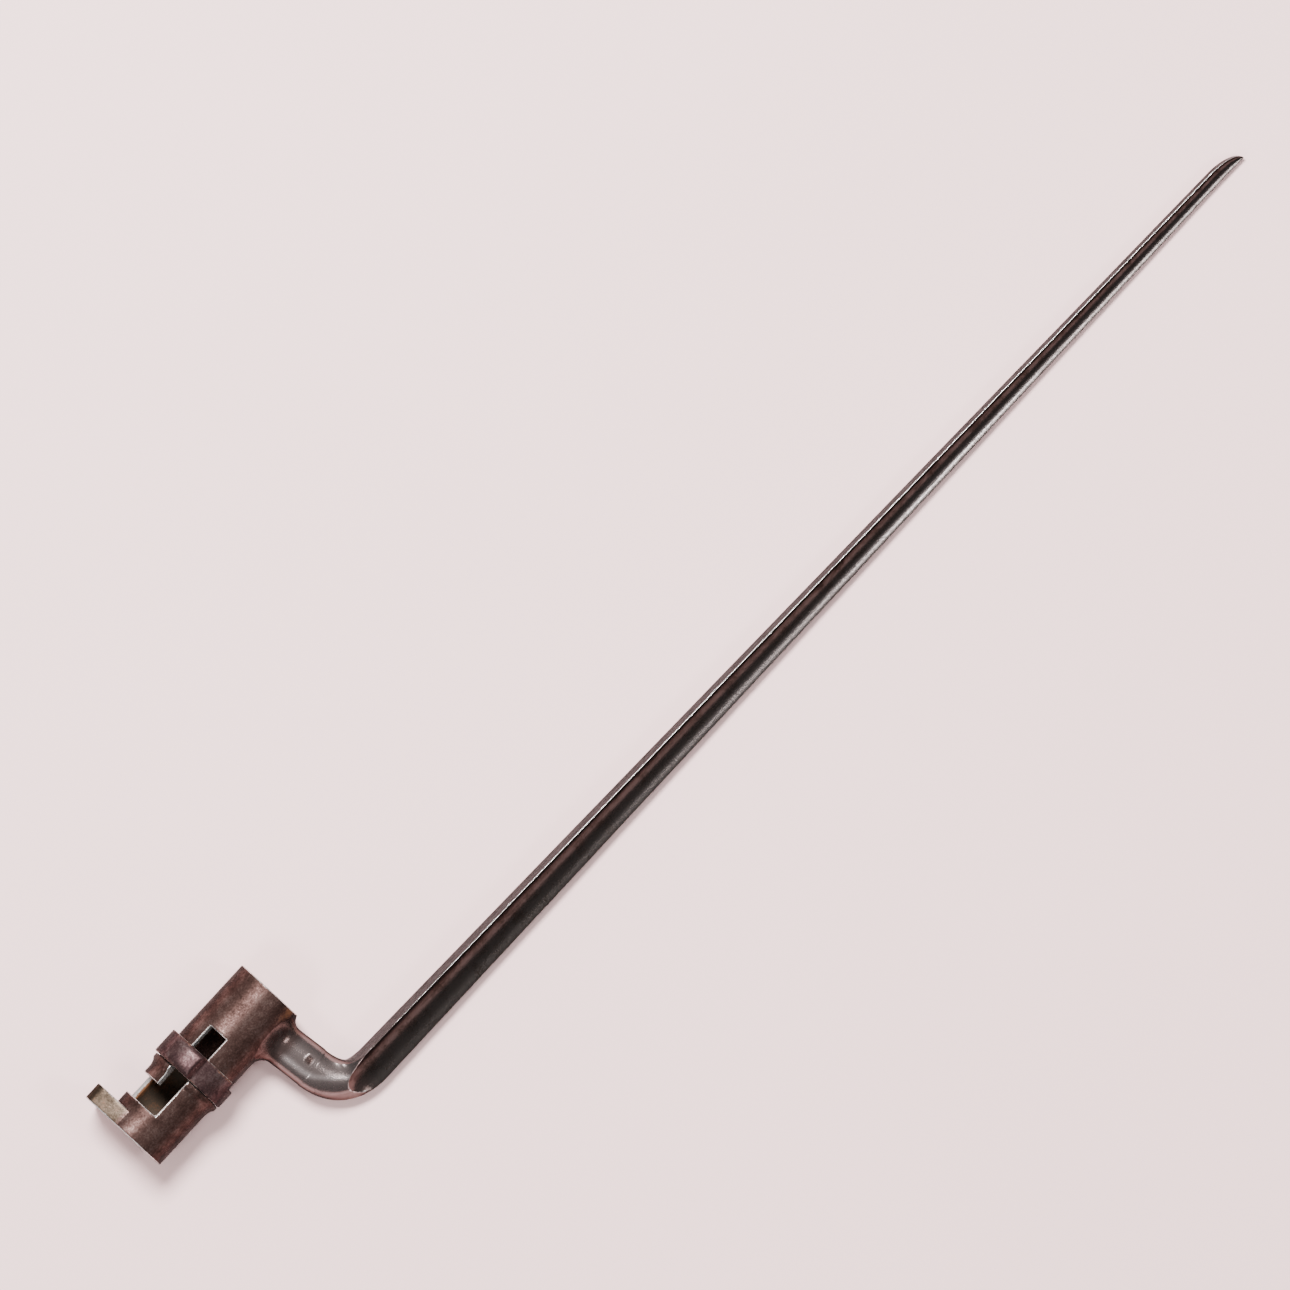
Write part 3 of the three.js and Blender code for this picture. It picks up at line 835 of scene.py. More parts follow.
@dataclass
class Socket:
    """The tube that goes on the barrel: mortise, bridge and collar. Millimetres and degrees."""

    length: float = 72.6
    bore_radius: float = 10.7
    wall: float = 2.65
    stud_height: float = 5.7
    entry_angle: float = -111.7
    entry_width: float = 9.8
    forward_angle: float = -23.4
    forward_width: float = 7.8
    transverse_start: float = 11.7
    transverse_length: float = 9.3
    forward_leg: float = 27.9
    bridge_length: float = 6.9
    bridge_wall: float = 4.65
    bridge_inset: float = 0.95
    bridge_corner: float = 4.0
    collar_end: float = 29.0
    collar_length: float = 4.9
    collar_ramp: float = 3.2
    collar_rise: float = 1.3
    edge_round: float = 0.45
    bore_round: float = 0.2
    corner_round: float = 1.4
    sheer: float = 0.02
    pitch: float = 0.9
    angle_pitch: float = 2.0
    ramp_lines: int = 9
    bridge_fans: tuple = ((28.0, 1.0), (80.0, 2.0))
    crowding: float = 0.12
    # Bright lines on edges, rims and window borders: worn steel, and partly painted highlights on the
    # rounded edges.
    edge_wear_width: float = 0.4
    end_wear_width: float = 0.45
    collar_wear: float = 0.5
    collar_wear_width: float = 0.3
    bridge_wear: float = 0.75
    bore_wear: float = 0.35
    bore_darkening: float = 0.9
    darkening_end: Rise = Rise(29.0, 8.0)
    proud_range: float = 0.8
    # Painted highlight along the uppermost side and on the collar's ramp.
    crest_highlight: Spot = Spot(-4.0, 12.0, 0.22)
    ramp_highlight: Spot = Spot(2.24, 1.4, 0.3)
    bridge_rust: Spot = Spot(0.0, 6.0, 0.35)
    bridge_rust_side: Spot = Spot(0.0, 50.0)
    muzzle_rust: Spot = Spot(-2.0, 4.5, 0.65)
    muzzle_rust_side: Spot = Spot(42.0, 18.0)
    leg_rust: Spot = Spot(0.0, 8.333, 0.9)
    leg_rust_margins: tuple[float, float] = (2.0, 4.0)
    bore_rust_least: float = 0.25

    def __post_init__(self) -> None:
        """Work out the radii and the mortise's windows."""
        self.radius = self.bore_radius + self.wall
        self.stud_radius = self.bore_radius + self.stud_height
        entry_half = math.degrees(math.asin(self.entry_width / 2 / self.radius))
        forward_half = math.degrees(math.asin(self.forward_width / 2 / self.radius))
        low, high = self.entry_angle - entry_half, self.forward_angle + forward_half
        transverse_end = self.transverse_start + self.transverse_length
        forward_end = transverse_end + self.forward_leg
        self.windows = [
            (self.bridge_length, self.transverse_start + NUDGE, low, self.entry_angle + entry_half),
            (self.transverse_start, transverse_end, low, high),
            (self.transverse_start, forward_end, self.forward_angle - forward_half, high),
        ]

    def lines(self) -> tuple[np.ndarray, np.ndarray]:
        """Lay out the grid's lines.

        Returns:
            The places along the socket, mm, and the angles around it, degrees.
        """
        edges = {w[0] for w in self.windows} | {w[1] for w in self.windows[1:]} | {self.collar_end}
        ramp = self.collar_end - self.collar_length
        along = ruled(sorted(edges) + [0.0, self.length], self.length, self.pitch, self.edge_round)
        extra = [self.collar_end - self.sheer]
        extra += [self.bridge_length + self.sheer, self.transverse_start + self.sheer]
        extra += list(np.linspace(ramp, ramp + self.collar_ramp, self.ramp_lines))
        along = np.unique(np.round(np.concatenate([along, extra]), 5))
        sides = sorted({w[2] for w in self.windows} | {w[3] for w in self.windows})
        rounds = math.degrees(self.edge_round / self.radius)
        turns = ruled([s + 180.0 for s in sides], 360.0, self.angle_pitch, rounds)[:-1] - 180.0
        for reach, pitch in self.bridge_fans:
            fan = self.entry_angle + np.arange(-reach, reach + 0.5, pitch)
            turns = np.concatenate([turns, fan])
        turns = np.where(turns < -180.0, turns + 360.0, turns)
        return along, self._sifted(turns, sides)

    def _sifted(self, turns: np.ndarray, kept: list[float]) -> np.ndarray:
        """Take out the lines that crowd another.

        Args:
            turns: the angles of the lines.
            kept: the ones that always stay.

        Returns:
            The lines that are left, in order.
        """
        turns = np.unique(np.round(turns, 5))
        clear = np.concatenate([[True], np.diff(turns) > self.crowding])
        held = np.abs(turns[:, None] - np.array(kept)[None, :]).min(axis=1) < NUDGE
        return turns[clear | held]

    def off_window(self, x: np.ndarray, angle: np.ndarray) -> np.ndarray:
        """Distance on the socket's skin to the nearest window: sqrt(dx^2 + (r da)^2).

        Args:
            x: places along the socket.
            angle: angles around it.

        Returns:
            The distances, 0 within a window.
        """
        best = np.full(np.broadcast(x, angle).shape, FAR)
        for start, end, low, high in self.windows:
            around_by = np.radians(beyond(angle, low, high)) * self.radius
            best = np.minimum(best, np.hypot(beyond(x, start, end), around_by))
        return best

    def tube_radius(self, x: np.ndarray) -> np.ndarray:
        """The tube's outside radius, with the collar that swells as the square of the way up.

        Args:
            x: places along the socket.

        Returns:
            The radii.
        """
        start = self.collar_end - self.collar_length
        share = np.clip((x - start) / self.collar_ramp, 0.0, 1.0)
        on_collar = x <= self.collar_end - self.sheer / 2
        return self.radius + self.collar_rise * share * share * on_collar

    def bridge_radius(self, angle: np.ndarray) -> np.ndarray:
        """Reach of the bridge: a ray's way from the axis out of a rectangle with round corners.

        Args:
            angle: the ray's angles.

        Returns:
            The reach, 0 on the side away from the bridge.
        """
        off = np.radians(angle - self.entry_angle)
        half, reach = self.radius - self.bridge_inset, self.stud_radius + self.bridge_wall
        up, side = np.cos(off), np.abs(np.sin(off))
        flat = np.minimum(reach / np.maximum(up, TINY), half / np.maximum(side, TINY))
        cx, cy = half - self.bridge_corner, reach - self.bridge_corner
        along = cx * side + cy * up
        inside = self.bridge_corner**2 - (cx * cx + cy * cy - along * along)
        corner = along + np.sqrt(np.maximum(inside, 0.0))
        in_corner = (corner * side > cx) & (corner * up > cy) & (inside > 0)
        return np.where(up > LEAST_UPRIGHT, np.where(in_corner, corner, flat), 0.0)

    def channel_radius(self, angle: np.ndarray) -> np.ndarray:
        """Reach of the stud's channel: a ray's way from the axis out of a rectangle.

        Args:
            angle: the ray's angles.

        Returns:
            The reach, 0 on the side away from the channel.
        """
        off = np.radians(angle - self.entry_angle)
        up, side = np.maximum(np.cos(off), TINY), np.maximum(np.abs(np.sin(off)), TINY)
        reach = np.minimum(self.stud_radius / up, self.entry_width / 2 / side)
        return np.where(np.cos(off) > LEAST_UPRIGHT, reach, 0.0)

    def surfaces(self) -> tuple[np.ndarray, np.ndarray, np.ndarray, dict[str, np.ndarray]]:
        """The two surfaces, the metal cells and the marks, on one grid of x and angle.

        Returns:
            Inner points, outer points, which cells are metal, and the marks for both surfaces.
        """
        along, turns = self.lines()
        x, angle = np.meshgrid(along, turns, indexing="ij")
        off_window = self.off_window(x, angle)
        ends = np.minimum(x, self.length - x)
        tube = self.tube_radius(x)
        bridge = np.where(x <= self.bridge_length + self.sheer / 2, self.bridge_radius(angle), 0.0)
        lip = np.clip(self.bridge_length - x, 0.0, None)
        proud = np.clip(bridge - tube, 0.0, None)
        step = np.where(x <= self.bridge_length + self.sheer / 2, worn_round(lip, self.edge_round), 0.0)
        outside = np.maximum(tube, bridge) - np.minimum(step, proud)
        collar_lip = np.clip(self.collar_end - x, 0.0, None)
        outside -= np.where(x < self.collar_end, worn_round(collar_lip, self.edge_round), 0.0)
        past_bridge = np.where(x > self.bridge_length - self.sheer, off_window, FAR)
        outside -= worn_round(np.minimum(past_bridge, ends), self.edge_round)
        inside = np.full(x.shape, self.bore_radius)
        channel = np.where(x <= self.transverse_start + self.sheer / 2, self.channel_radius(angle), 0.0)
        inside = np.maximum(inside, channel) + worn_round(ends, self.edge_round)
        bore_edge = worn_round(past_bridge, self.bore_round) * (channel <= inside)
        inside = np.minimum(inside + bore_edge, outside)
        solid = self.metal(along, turns)
        collar_gap = collar_lip + 9.0 * (x > self.collar_end)
        on_face = (proud > 0.5) * (x <= self.bridge_length + 0.1)
        # Bright edge lines: worn steel, and partly painted highlights on the rounded edges.
        wear = np.maximum.reduce([
            near(past_bridge, self.edge_wear_width),
            near(ends, self.end_wear_width),
            self.collar_wear * near(collar_gap, self.collar_wear_width),
            self.bridge_wear * near(lip, self.edge_wear_width) * on_face,
        ])
        # Darker colour inside the bore, fading out from 29 mm to 37 mm along the socket.
        inner_dark = lerp(self.bore_darkening, 0.0, self.darkening_end.at(x))
        nothing = np.zeros(x.size)
        # The outer surface adds the painted highlight of the uppermost side and the collar's ramp.
        skin_wear_and_highlight = np.maximum(wear, self.crest_and_ramp_highlight(x, angle))
        rust = [grid.ravel() for grid in (self.bore_rust(x, angle), self.skin_rust(x, angle))]
        marks = {
            "wear": np.concatenate([(self.bore_wear * wear).ravel(), skin_wear_and_highlight.ravel()]),
            "rust": np.concatenate(rust),
            "inside": np.concatenate([inner_dark.ravel(), nothing]),
            "ground": np.concatenate([nothing, self.on_bridge(x, angle).ravel()]),
        }
        x, angle = self.eased_corner(x, angle)
        return around(x, inside, angle), around(x, outside, angle), solid, marks

    def on_bridge(self, x: np.ndarray, angle: np.ndarray) -> np.ndarray:
        """How far each point belongs to the bridge rather than the tube.

        Args:
            x: grid of places along the socket.
            angle: grid of angles.

        Returns:
            0 on the tube to 1 on the bridge.
        """
        proud = np.clip((self.bridge_radius(angle) - self.radius) / self.proud_range, 0.0, 1.0)
        return proud * (x <= self.bridge_length + 0.1)

    def eased_corner(self, x: np.ndarray, angle: np.ndarray) -> tuple[np.ndarray, np.ndarray]:
        """Round the transverse leg's rear corner next to the forward leg.

        The window's two edges are carried onto a quadratic curve through the corner's sides,
        (1 - s)^2 A + 2 s (1 - s) C + s^2 B, with s = 1/2 at the corner.

        Args:
            x: grid of places along the socket.
            angle: grid of angles.

        Returns:
            The grids with the vertices on the two edges moved.
        """
        _, _, _, high = self.windows[1]
        reach = self.corner_round
        ds = np.radians(high - angle) * self.radius
        dx = x - self.transverse_start
        on_end = (np.abs(dx) < NUDGE) & (ds >= -NUDGE) & (ds < reach)
        on_side = (np.abs(ds) < 10 * NUDGE) & (dx >= -NUDGE) & (dx < reach)
        s = np.where(on_end, 0.5 - ds / (2 * reach), 0.5 + dx / (2 * reach))
        moved = on_end | on_side
        turned = high - np.degrees((1 - s) ** 2 * reach / self.radius)
        carried = self.transverse_start + s * s * reach
        return np.where(moved, carried, x), np.where(moved, turned, angle)

    def metal(self, along: np.ndarray, turns: np.ndarray) -> np.ndarray:
        """Find the metal: all cells but those whose middle is in a window of the mortise.

        Args:
            along: the grid's lines along the socket.
            turns: its lines around the socket.

        Returns:
            A grid that is true where a cell is metal.
        """
        middle_x = (along[1:] + along[:-1])[:, None] / 2
        closing = np.concatenate([turns, [turns[0] + 360.0]])
        middle_a = (closing[1:] + closing[:-1])[None, :] / 2
        return self.off_window(middle_x, middle_a) > 0

    def crest_and_ramp_highlight(self, x: np.ndarray, angle: np.ndarray) -> np.ndarray:
        """Painted highlight along the side that lies uppermost, and on the collar's ramp.

        Args:
            x: grid of places along the socket.
            angle: grid of angles.

        Returns:
            The painted highlight, 0 to 1.
        """
        ramp = self.ramp_highlight.at(x - self.collar_end + self.collar_length)
        return np.maximum(ramp, self.crest_highlight.at(angle))

    def skin_rust(self, x: np.ndarray, angle: np.ndarray) -> np.ndarray:
        """Rust on the bridge, and by the muzzle over the arm.

        Args:
            x: grid of places along the socket.
            angle: grid of angles.

        Returns:
            The rust, 0 to 1.
        """
        bridge = self.bridge_rust.at(x - self.bridge_length / 2)
        bridge = bridge * self.bridge_rust_side.at(angle - self.entry_angle)
        muzzle = self.muzzle_rust.at(x - self.length) * self.muzzle_rust_side.at(angle)
        return np.maximum(bridge, muzzle)

    def bore_rust(self, x: np.ndarray, angle: np.ndarray) -> np.ndarray:
        """Rust along the cut ends of the transverse leg, and a little all through the bore.

        Args:
            x: grid of places along the socket.
            angle: grid of angles.

        Returns:
            The rust, 0 to 1.
        """
        leg_start, leg_end, low, _ = self.windows[1]
        before, after = self.leg_rust_margins
        by_leg = (x > leg_start - before) & (x < leg_end + after)
        return np.maximum(self.bore_rust_least, self.leg_rust.at(angle - low) * by_leg)

    def make(self, maker: MakersFrame) -> bpy.types.Object:
        """Build the socket.

        Args:
            maker: the frame that the socket is built in.

        Returns:
            The object.
        """
        inner, outer, solid, marks = self.surfaces()
        points, faces = walled_sheet(inner, outer, solid, True)
        return Piece("socket", points, faces.tolist(), marks, SOCKET_PATINA).build(maker)


# ---- Arm and blade ----


@dataclass
class ArmAndBlade:
    """The forged arm, its elbow and the hollow-ground blade, as one loft. Millimetres and degrees."""

    socket: Socket
    setback: float = 11.4
    arm_width: float = 16.0
    arm_thickness: float = 13.5
    lean: float = 5.0
    fillet: float = 4.5
    roundness: float = 2.2
    elbow_reach: float = 16.0
    blade_length: float = 466.0
    blade_offset: float = 39.5
    splay: float = 1.35
    width: float = 16.6
    width_at_point: float = 7.0
    depth: float = 13.3
    depth_at_point: float = 5.2
    point_length: float = 12.5
    fuller_start: float = 8.5
    fuller_hollow: float = 0.15
    edge_land: float = 0.4
    edge_ease: float = 0.32
    root_sunk: float = 0.3
    flat_count: int = 60
    side_count: int = 72
    fillet_rows: int = 19
    arm_lines: int = 66
    elbow_lines: int = 121
    straight_rows: int = 170
    point_rows: int = 34
    stamp_x: float = 63.8
    stamp_y: float = -26.5
    stamp_half: float = 1.5
    stamp_squareness: float = 4.0
    stamp_depth: float = 0.12
    stamp_line: float = 0.42
    stamp_aspect: float = 0.85
    stamp_sharpness: float = 4.0
    ease_from: float = 14.0
    # Bright lines on the section's corners, strongest along the arris: worn steel, and partly a painted
    # highlight.
    edge_wear: Spot = Spot(0.0, 0.21)
    edge_wear_start: Rise = Rise(2.0, 10.0)
    edge_wear_growth: Rise = Rise(0.0, 170.0)
    edge_wear_range: tuple[float, float] = (0.5, 1.15)
    scoop_wear: Spot = Spot(0.0, 0.24, 0.8)
    scoop_start: Rise = Rise(-2.0, 5.0)
    scoop_end: Rise = Rise(12.0, 6.0)
    # Painted reflection of a lamp on the fullers, in bright, polished colour: across the fuller, along
    # the blade, where it starts and how strong it is.
    reflection_across: Spot = Spot(0.80, 0.095)
    reflection_along: Spot = Spot(305.0, 90.0)
    reflection_start: Rise = Rise(100.0, 110.0)
    reflection_range: tuple[float, float] = (0.22, 0.72)
    reflection_share: float = 0.8
    # Polish on the arm with painted highlights where a lamp's streaks of reflection fall: the band's
    # turn and width, where it starts, bends and ends, the elbow corner's painted highlight, the upper
    # side's light polish and the streak's bright core.
    polish_turn: tuple[float, float] = (118.0, 72.0)
    polish_width: float = 13.0
    polish_start: Rise = Rise(17.0, 4.0)
    polish_bend: Rise = Rise(27.0, 16.0)
    polish_end: Rise = Rise(6.0, 26.0)
    corner_highlight: Spot = Spot(160.0, 14.0, 0.25)
    upper_polish: float = 0.34
    upper_start: Rise = Rise(1.0, 4.0)
    streak_core_share: float = 0.5
    foot_rust: Spot = Spot(-15.0, 4.0, 0.5)
    foot_rust_along: Spot = Spot(0.0, 5.0)
    stamp_rust: float = 0.22
    ground_start: Rise = Rise(1.0, 12.0)

    def __post_init__(self) -> None:
        """Work out the blade's own directions and its section's shares."""
        turn = math.radians(self.splay)
        self.along = np.array([math.cos(turn), -math.sin(turn), 0.0])
        self.inward = np.array([math.sin(turn), math.cos(turn), 0.0])
        self.arm_x = self.socket.length - self.setback
        self.slope = math.tan(math.radians(self.lean))
        corner = self.blade_offset + self.depth / 2 - self.socket.radius
        self.corner = np.array([self.arm_x + corner * self.slope, -self.blade_offset, 0.0])
        counts = [self.flat_count, self.side_count, self.side_count]
        share = np.concatenate([np.arange(n) / n for n in counts])
        self.side = np.repeat(np.arange(3), counts)
        self.share = 0.35 * share + 0.65 * (1 - np.cos(np.pi * share)) / 2

    def size(self, t: np.ndarray) -> tuple[np.ndarray, np.ndarray, np.ndarray]:
        """The blade's section at a distance from the corner.

        The section shrinks straight to the point, and over the last stretch as sqrt(1 - q^2).

        Args:
            t: distance along the blade, mm.

        Returns:
            Width of the flat, depth to the ridge, and how far the flat has dropped.
        """
        share = np.minimum(t / (self.blade_length - self.point_length), 1.0)
        q = np.clip((t - self.blade_length + self.point_length) / self.point_length, 0.0, 1.0)
        point = np.sqrt(1.0 - q * q)
        full = lerp(self.depth, self.depth_at_point, share)
        return lerp(self.width, self.width_at_point, share) * point, full * point, full * (1.0 - point)

    def blade_point(self, t: np.ndarray, behind: np.ndarray, z: np.ndarray) -> np.ndarray:
        """Points from the blade's own measures: corner + t along - behind inward + z up.

        Args:
            t: distances along the blade.
            behind: distances away from the socket's side.
            z: heights.

        Returns:
            The points in the maker's frame.
        """
        t, behind, z = np.broadcast_arrays(t, behind, z)
        point = self.corner + t[..., None] * self.along - behind[..., None] * self.inward
        point[..., 2] += z
        return point

    def triangle(self, width: np.ndarray, depth: np.ndarray) -> tuple[np.ndarray, np.ndarray]:
        """The section before grinding, for rows of sizes.

        Args:
            width: the flat's widths.
            depth: the depths from the flat to the ridge.

        Returns:
            Each point's place towards the socket, and its place across.
        """
        a = np.stack([depth / 2, depth / 2, -depth / 2], axis=-1)
        b = np.stack([-width / 2, width / 2, 0 * width], axis=-1)
        following = (self.side + 1) % 3
        return (
            lerp(a[..., self.side], a[..., following], self.share),
            lerp(b[..., self.side], b[..., following], self.share),
        )

    def eased_edges(self, rows: np.ndarray) -> np.ndarray:
        """Round the section's three corners a little, as long use does.

        Near a corner C the points are carried onto the quadratic curve from the previous side to
        the next, (1 - s)^2 A + 2 s (1 - s) C + s^2 B, with s = 1/2 at the corner.

        Args:
            rows: grid of points whose columns run round the section.

        Returns:
            The grid with its corners rounded.
        """
        starts = np.array([0, self.flat_count, self.flat_count + self.side_count])
        corners = rows[:, starts]
        ahead = np.roll(corners, -1, axis=1) - corners
        length = np.maximum(np.linalg.norm(ahead, axis=2, keepdims=True), TINY)
        ahead = ahead / length
        back = -np.roll(ahead, 1, axis=1)
        reach = np.minimum(self.edge_ease, 0.12 * length.min(axis=1, keepdims=True))[..., 0]
        eased = rows.copy()
        for corner, on_next in ((c, n) for c in range(3) for n in (True, False)):
            side = corner if on_next else (corner - 1) % 3
            mine = self.side == side
            middle = corners[:, corner : corner + 1]
            gap = np.linalg.norm(rows[:, mine] - middle, axis=2)
            s = 0.5 + (1 if on_next else -1) * np.clip(gap / reach, 0.0, 1.0) / 2
            a = middle + back[:, corner : corner + 1] * reach[..., None]
            b = middle + ahead[:, corner : corner + 1] * reach[..., None]
            carried = curved(a, middle, b, s[..., None])
            eased[:, mine] = np.where((gap < reach)[..., None], carried, eased[:, mine])
        return eased

    def rounded(
        self, a: np.ndarray, b: np.ndarray, width: np.ndarray, thick: np.ndarray
    ) -> tuple[np.ndarray, np.ndarray]:
        """Carry the section onto a superellipse, whose reach is (|a/w|^n + |b/t|^n)^(-1/n).

        Args:
            a: the section's places towards the socket.
            b: its places across.
            width: the superellipse's size along a.
            thick: its size along b.

        Returns:
            The new a and b, in the same directions.
        """
        angle = np.arctan2(b, a)
        reach_a = np.abs(np.cos(angle) / (width / 2)) ** self.roundness
        reach_b = np.abs(np.sin(angle) / (thick / 2)) ** self.roundness
        reach = (reach_a + reach_b) ** (-1 / self.roundness)
        return reach * np.cos(angle), reach * np.sin(angle)

    def arm_point(
        self, a: np.ndarray, b: np.ndarray, distance: np.ndarray, wrap: np.ndarray
    ) -> np.ndarray:
        """Points of the arm, wrapped on a cylinder about the socket or laid flat.

        Args:
            a: the section's places along the socket.
            b: its places across.
            distance: how far the row is from the socket's axis.
            wrap: 1 to wrap, 0 to lay flat.

        Returns:
            The points in the maker's frame.
        """
        turn = b / distance
        out = lerp(distance, distance * np.cos(turn), wrap)
        z = lerp(b, distance * np.sin(turn), wrap)
        y = (1 - wrap) * a * self.slope - out
        return np.stack([self.arm_x + a + (out - self.socket.radius) * self.slope, y, z], axis=-1)

    def foot_rows(self) -> np.ndarray:
        """Rows of the fillet that spreads the arm on the socket: a quarter of a circle.

        Returns:
            The rows, from the root in the socket's wall outwards.
        """
        a, b = self.triangle(np.array([self.arm_thickness]), np.array([self.arm_width]))
        turn = np.linspace(math.pi / 2, 0.0, self.fillet_rows)[:, None]
        spread = self.fillet * (1 - np.cos(turn))
        height = self.fillet * (1 - np.sin(turn))
        wide, thick = self.arm_width + 2 * spread, self.arm_thickness + 2 * spread
        fa, fb = self.rounded(a, b, wide, thick)
        rows = self.arm_point(fa, fb, self.socket.radius + height, np.ones_like(height))
        depths = (self.socket.bore_radius + self.socket.wall / 2, self.socket.radius - self.root_sunk)
        below = [self.arm_point(fa[:1], fb[:1], np.array([[d]]), np.ones((1, 1))) for d in depths]
        return np.concatenate([*below, rows])

    def elbow_rows(self) -> tuple[np.ndarray, float]:
        """Rows of the elbow: a quadratic curve from the arm's line to the blade's.

        Returns:
            The rows, and how far from the socket's axis the elbow starts.
        """
        width, depth, _ = (float(v) for v in self.size(np.array(self.elbow_reach)))
        lean = math.radians(self.lean)
        middle = self.blade_point(np.array(0.0), np.array(self.depth / 2), np.array(0.0))
        start = middle + np.array([-math.sin(lean), math.cos(lean), 0.0]) * self.elbow_reach
        end = self.blade_point(np.array(self.elbow_reach), np.array(depth / 2), np.array(0.0))
        share = np.linspace(0.0, 1.0, self.elbow_lines)[:, None]
        centre = curved(start, middle, end, share)
        tangent = (1 - share) * (middle - start) + share * (end - middle)
        tangent /= np.linalg.norm(tangent, axis=1)[:, None]
        across = np.stack([-tangent[:, 1], tangent[:, 0], 0 * tangent[:, 0]], axis=1)
        blend = smooth(share)
        wide = lerp(self.arm_width, depth, blend)
        thick = lerp(self.arm_thickness, width, blend)
        a, b = self.triangle(thick[:, 0], wide[:, 0])
        soft_a, soft_b = self.rounded(a, b, wide, thick)
        a, b = lerp(soft_a, a, blend), lerp(soft_b, b, blend)
        rows = centre[:, None, :] + across[:, None, :] * a[..., None]
        rows[..., 2] = b
        return rows, float(-start[1])

    def arm_rows(self, elbow_start: float) -> np.ndarray:
        """Rows of the arm between its fillet and its elbow.

        Args:
            elbow_start: how far from the socket's axis the elbow starts.

        Returns:
            The rows, outwards.
        """
        a, b = self.triangle(np.array([self.arm_thickness]), np.array([self.arm_width]))
        a, b = self.rounded(a, b, self.arm_width, self.arm_thickness)
        share = np.linspace(0.0, 1.0, self.arm_lines)[1:-1, None]
        distance = lerp(self.socket.radius + self.fillet, elbow_start, share)
        return self.arm_point(a, b, distance, 1 - smooth(share))

    def blade_rows(self) -> np.ndarray:
        """Rows of the blade from the elbow to its rounded point.

        Returns:
            The rows, towards the point.
        """
        straight_end = self.blade_length - self.point_length
        straight = np.linspace(self.elbow_reach, straight_end, self.straight_rows)[1:]
        turn = np.linspace(0.0, math.pi / 2, self.point_rows)[1:-1]
        t = np.concatenate([straight, straight_end + self.point_length * np.sin(turn)])
        width, depth, drop = self.size(t)
        a, b = self.triangle(width, depth)
        return self.blade_point(t[:, None], drop[:, None] + depth[:, None] / 2 - a, b)

    def grind(self, points: np.ndarray) -> tuple[np.ndarray, np.ndarray]:
        """Hollow both sides of the blade with a round wheel.

        At each distance along the blade the wheel is a circle through the flat's edge and the
        ridge. A point inside it is moved straight away from its middle onto it.

        Args:
            points: the forged surface.

        Returns:
            The ground surface, and how deep in the wheel each point was, negative outside it.
        """
        from_corner = points - self.corner
        t = from_corner @ self.along
        behind = -(from_corner @ self.inward)
        z = np.abs(points[..., 2])
        width, depth, drop = self.size(np.maximum(t, self.fuller_start))
        along_b, along_z = depth, -width / 2
        side = np.hypot(along_b, along_z)
        chord = np.maximum(side - 2 * self.edge_land, 1e-3)
        sagitta = self.fuller_hollow * chord
        radius = chord**2 / (8 * sagitta) + sagitta / 2
        safe = np.maximum(side, TINY)
        centre_b = drop + depth / 2 - along_z / safe * (radius - sagitta)
        centre_z = width / 4 + along_b / safe * (radius - sagitta)
        early = np.clip((self.fuller_start - t) / radius, 0.0, 1.0)
        reach = radius * np.sqrt(1.0 - early**2)
        off_b, off_z = behind - centre_b, z - centre_z
        away = np.maximum(np.hypot(off_b, off_z), TINY)
        gap = reach - away
        cut = np.clip(gap, 0.0, None) * (t < self.blade_length - 0.02)
        grown = 1.0 + cut / away
        new_b = centre_b + off_b * grown
        new_z = np.maximum(centre_z + off_z * grown, 0.0) * np.sign(points[..., 2])
        moved = self.blade_point(t, new_b, new_z)
        return np.where((cut > 0)[..., None], moved, points), gap

    def stamp(self, points: np.ndarray) -> tuple[np.ndarray, np.ndarray, np.ndarray]:
        """Punch a plain sunk field, square with round corners, into the arm's upper side.

        Args:
            points: the loft's grid of points.

        Returns:
            The punched grid, how near each point is to the outline, and whether it is within.
        """
        dx = (points[..., 0] - self.stamp_x) / self.stamp_half
        dy = (points[..., 1] - self.stamp_y) / (self.stamp_aspect * self.stamp_half)
        power = self.stamp_squareness
        field_edge = (np.abs(dx) ** power + np.abs(dy) ** power) ** (1 / power) - 1.0
        upper = points[..., 2] > 0
        line = near(field_edge * self.stamp_half, self.stamp_line) * upper
        floor = smooth(-field_edge * self.stamp_sharpness) * upper
        moved = points.copy()
        moved[..., 2] -= self.stamp_depth * np.maximum(line, 0.5 * floor)
        return moved, line, floor

    def painted_reflection_band(self, t: np.ndarray) -> np.ndarray:
        """Painted reflection: how much bright, polished colour each fuller gets near its ridge, most
        about the blade's middle, where a lamp's reflection lies.

        Args:
            t: distances along the blade.

        Returns:
            The painted reflection, 0 to 1.
        """
        from_arris = np.where(self.side == 1, self.share, 1.0 - self.share)
        band = self.reflection_across.at(from_arris) * (self.side > 0)
        along = lerp(*self.reflection_range, self.reflection_along.at(t))
        return band * along * self.reflection_start.at(t)

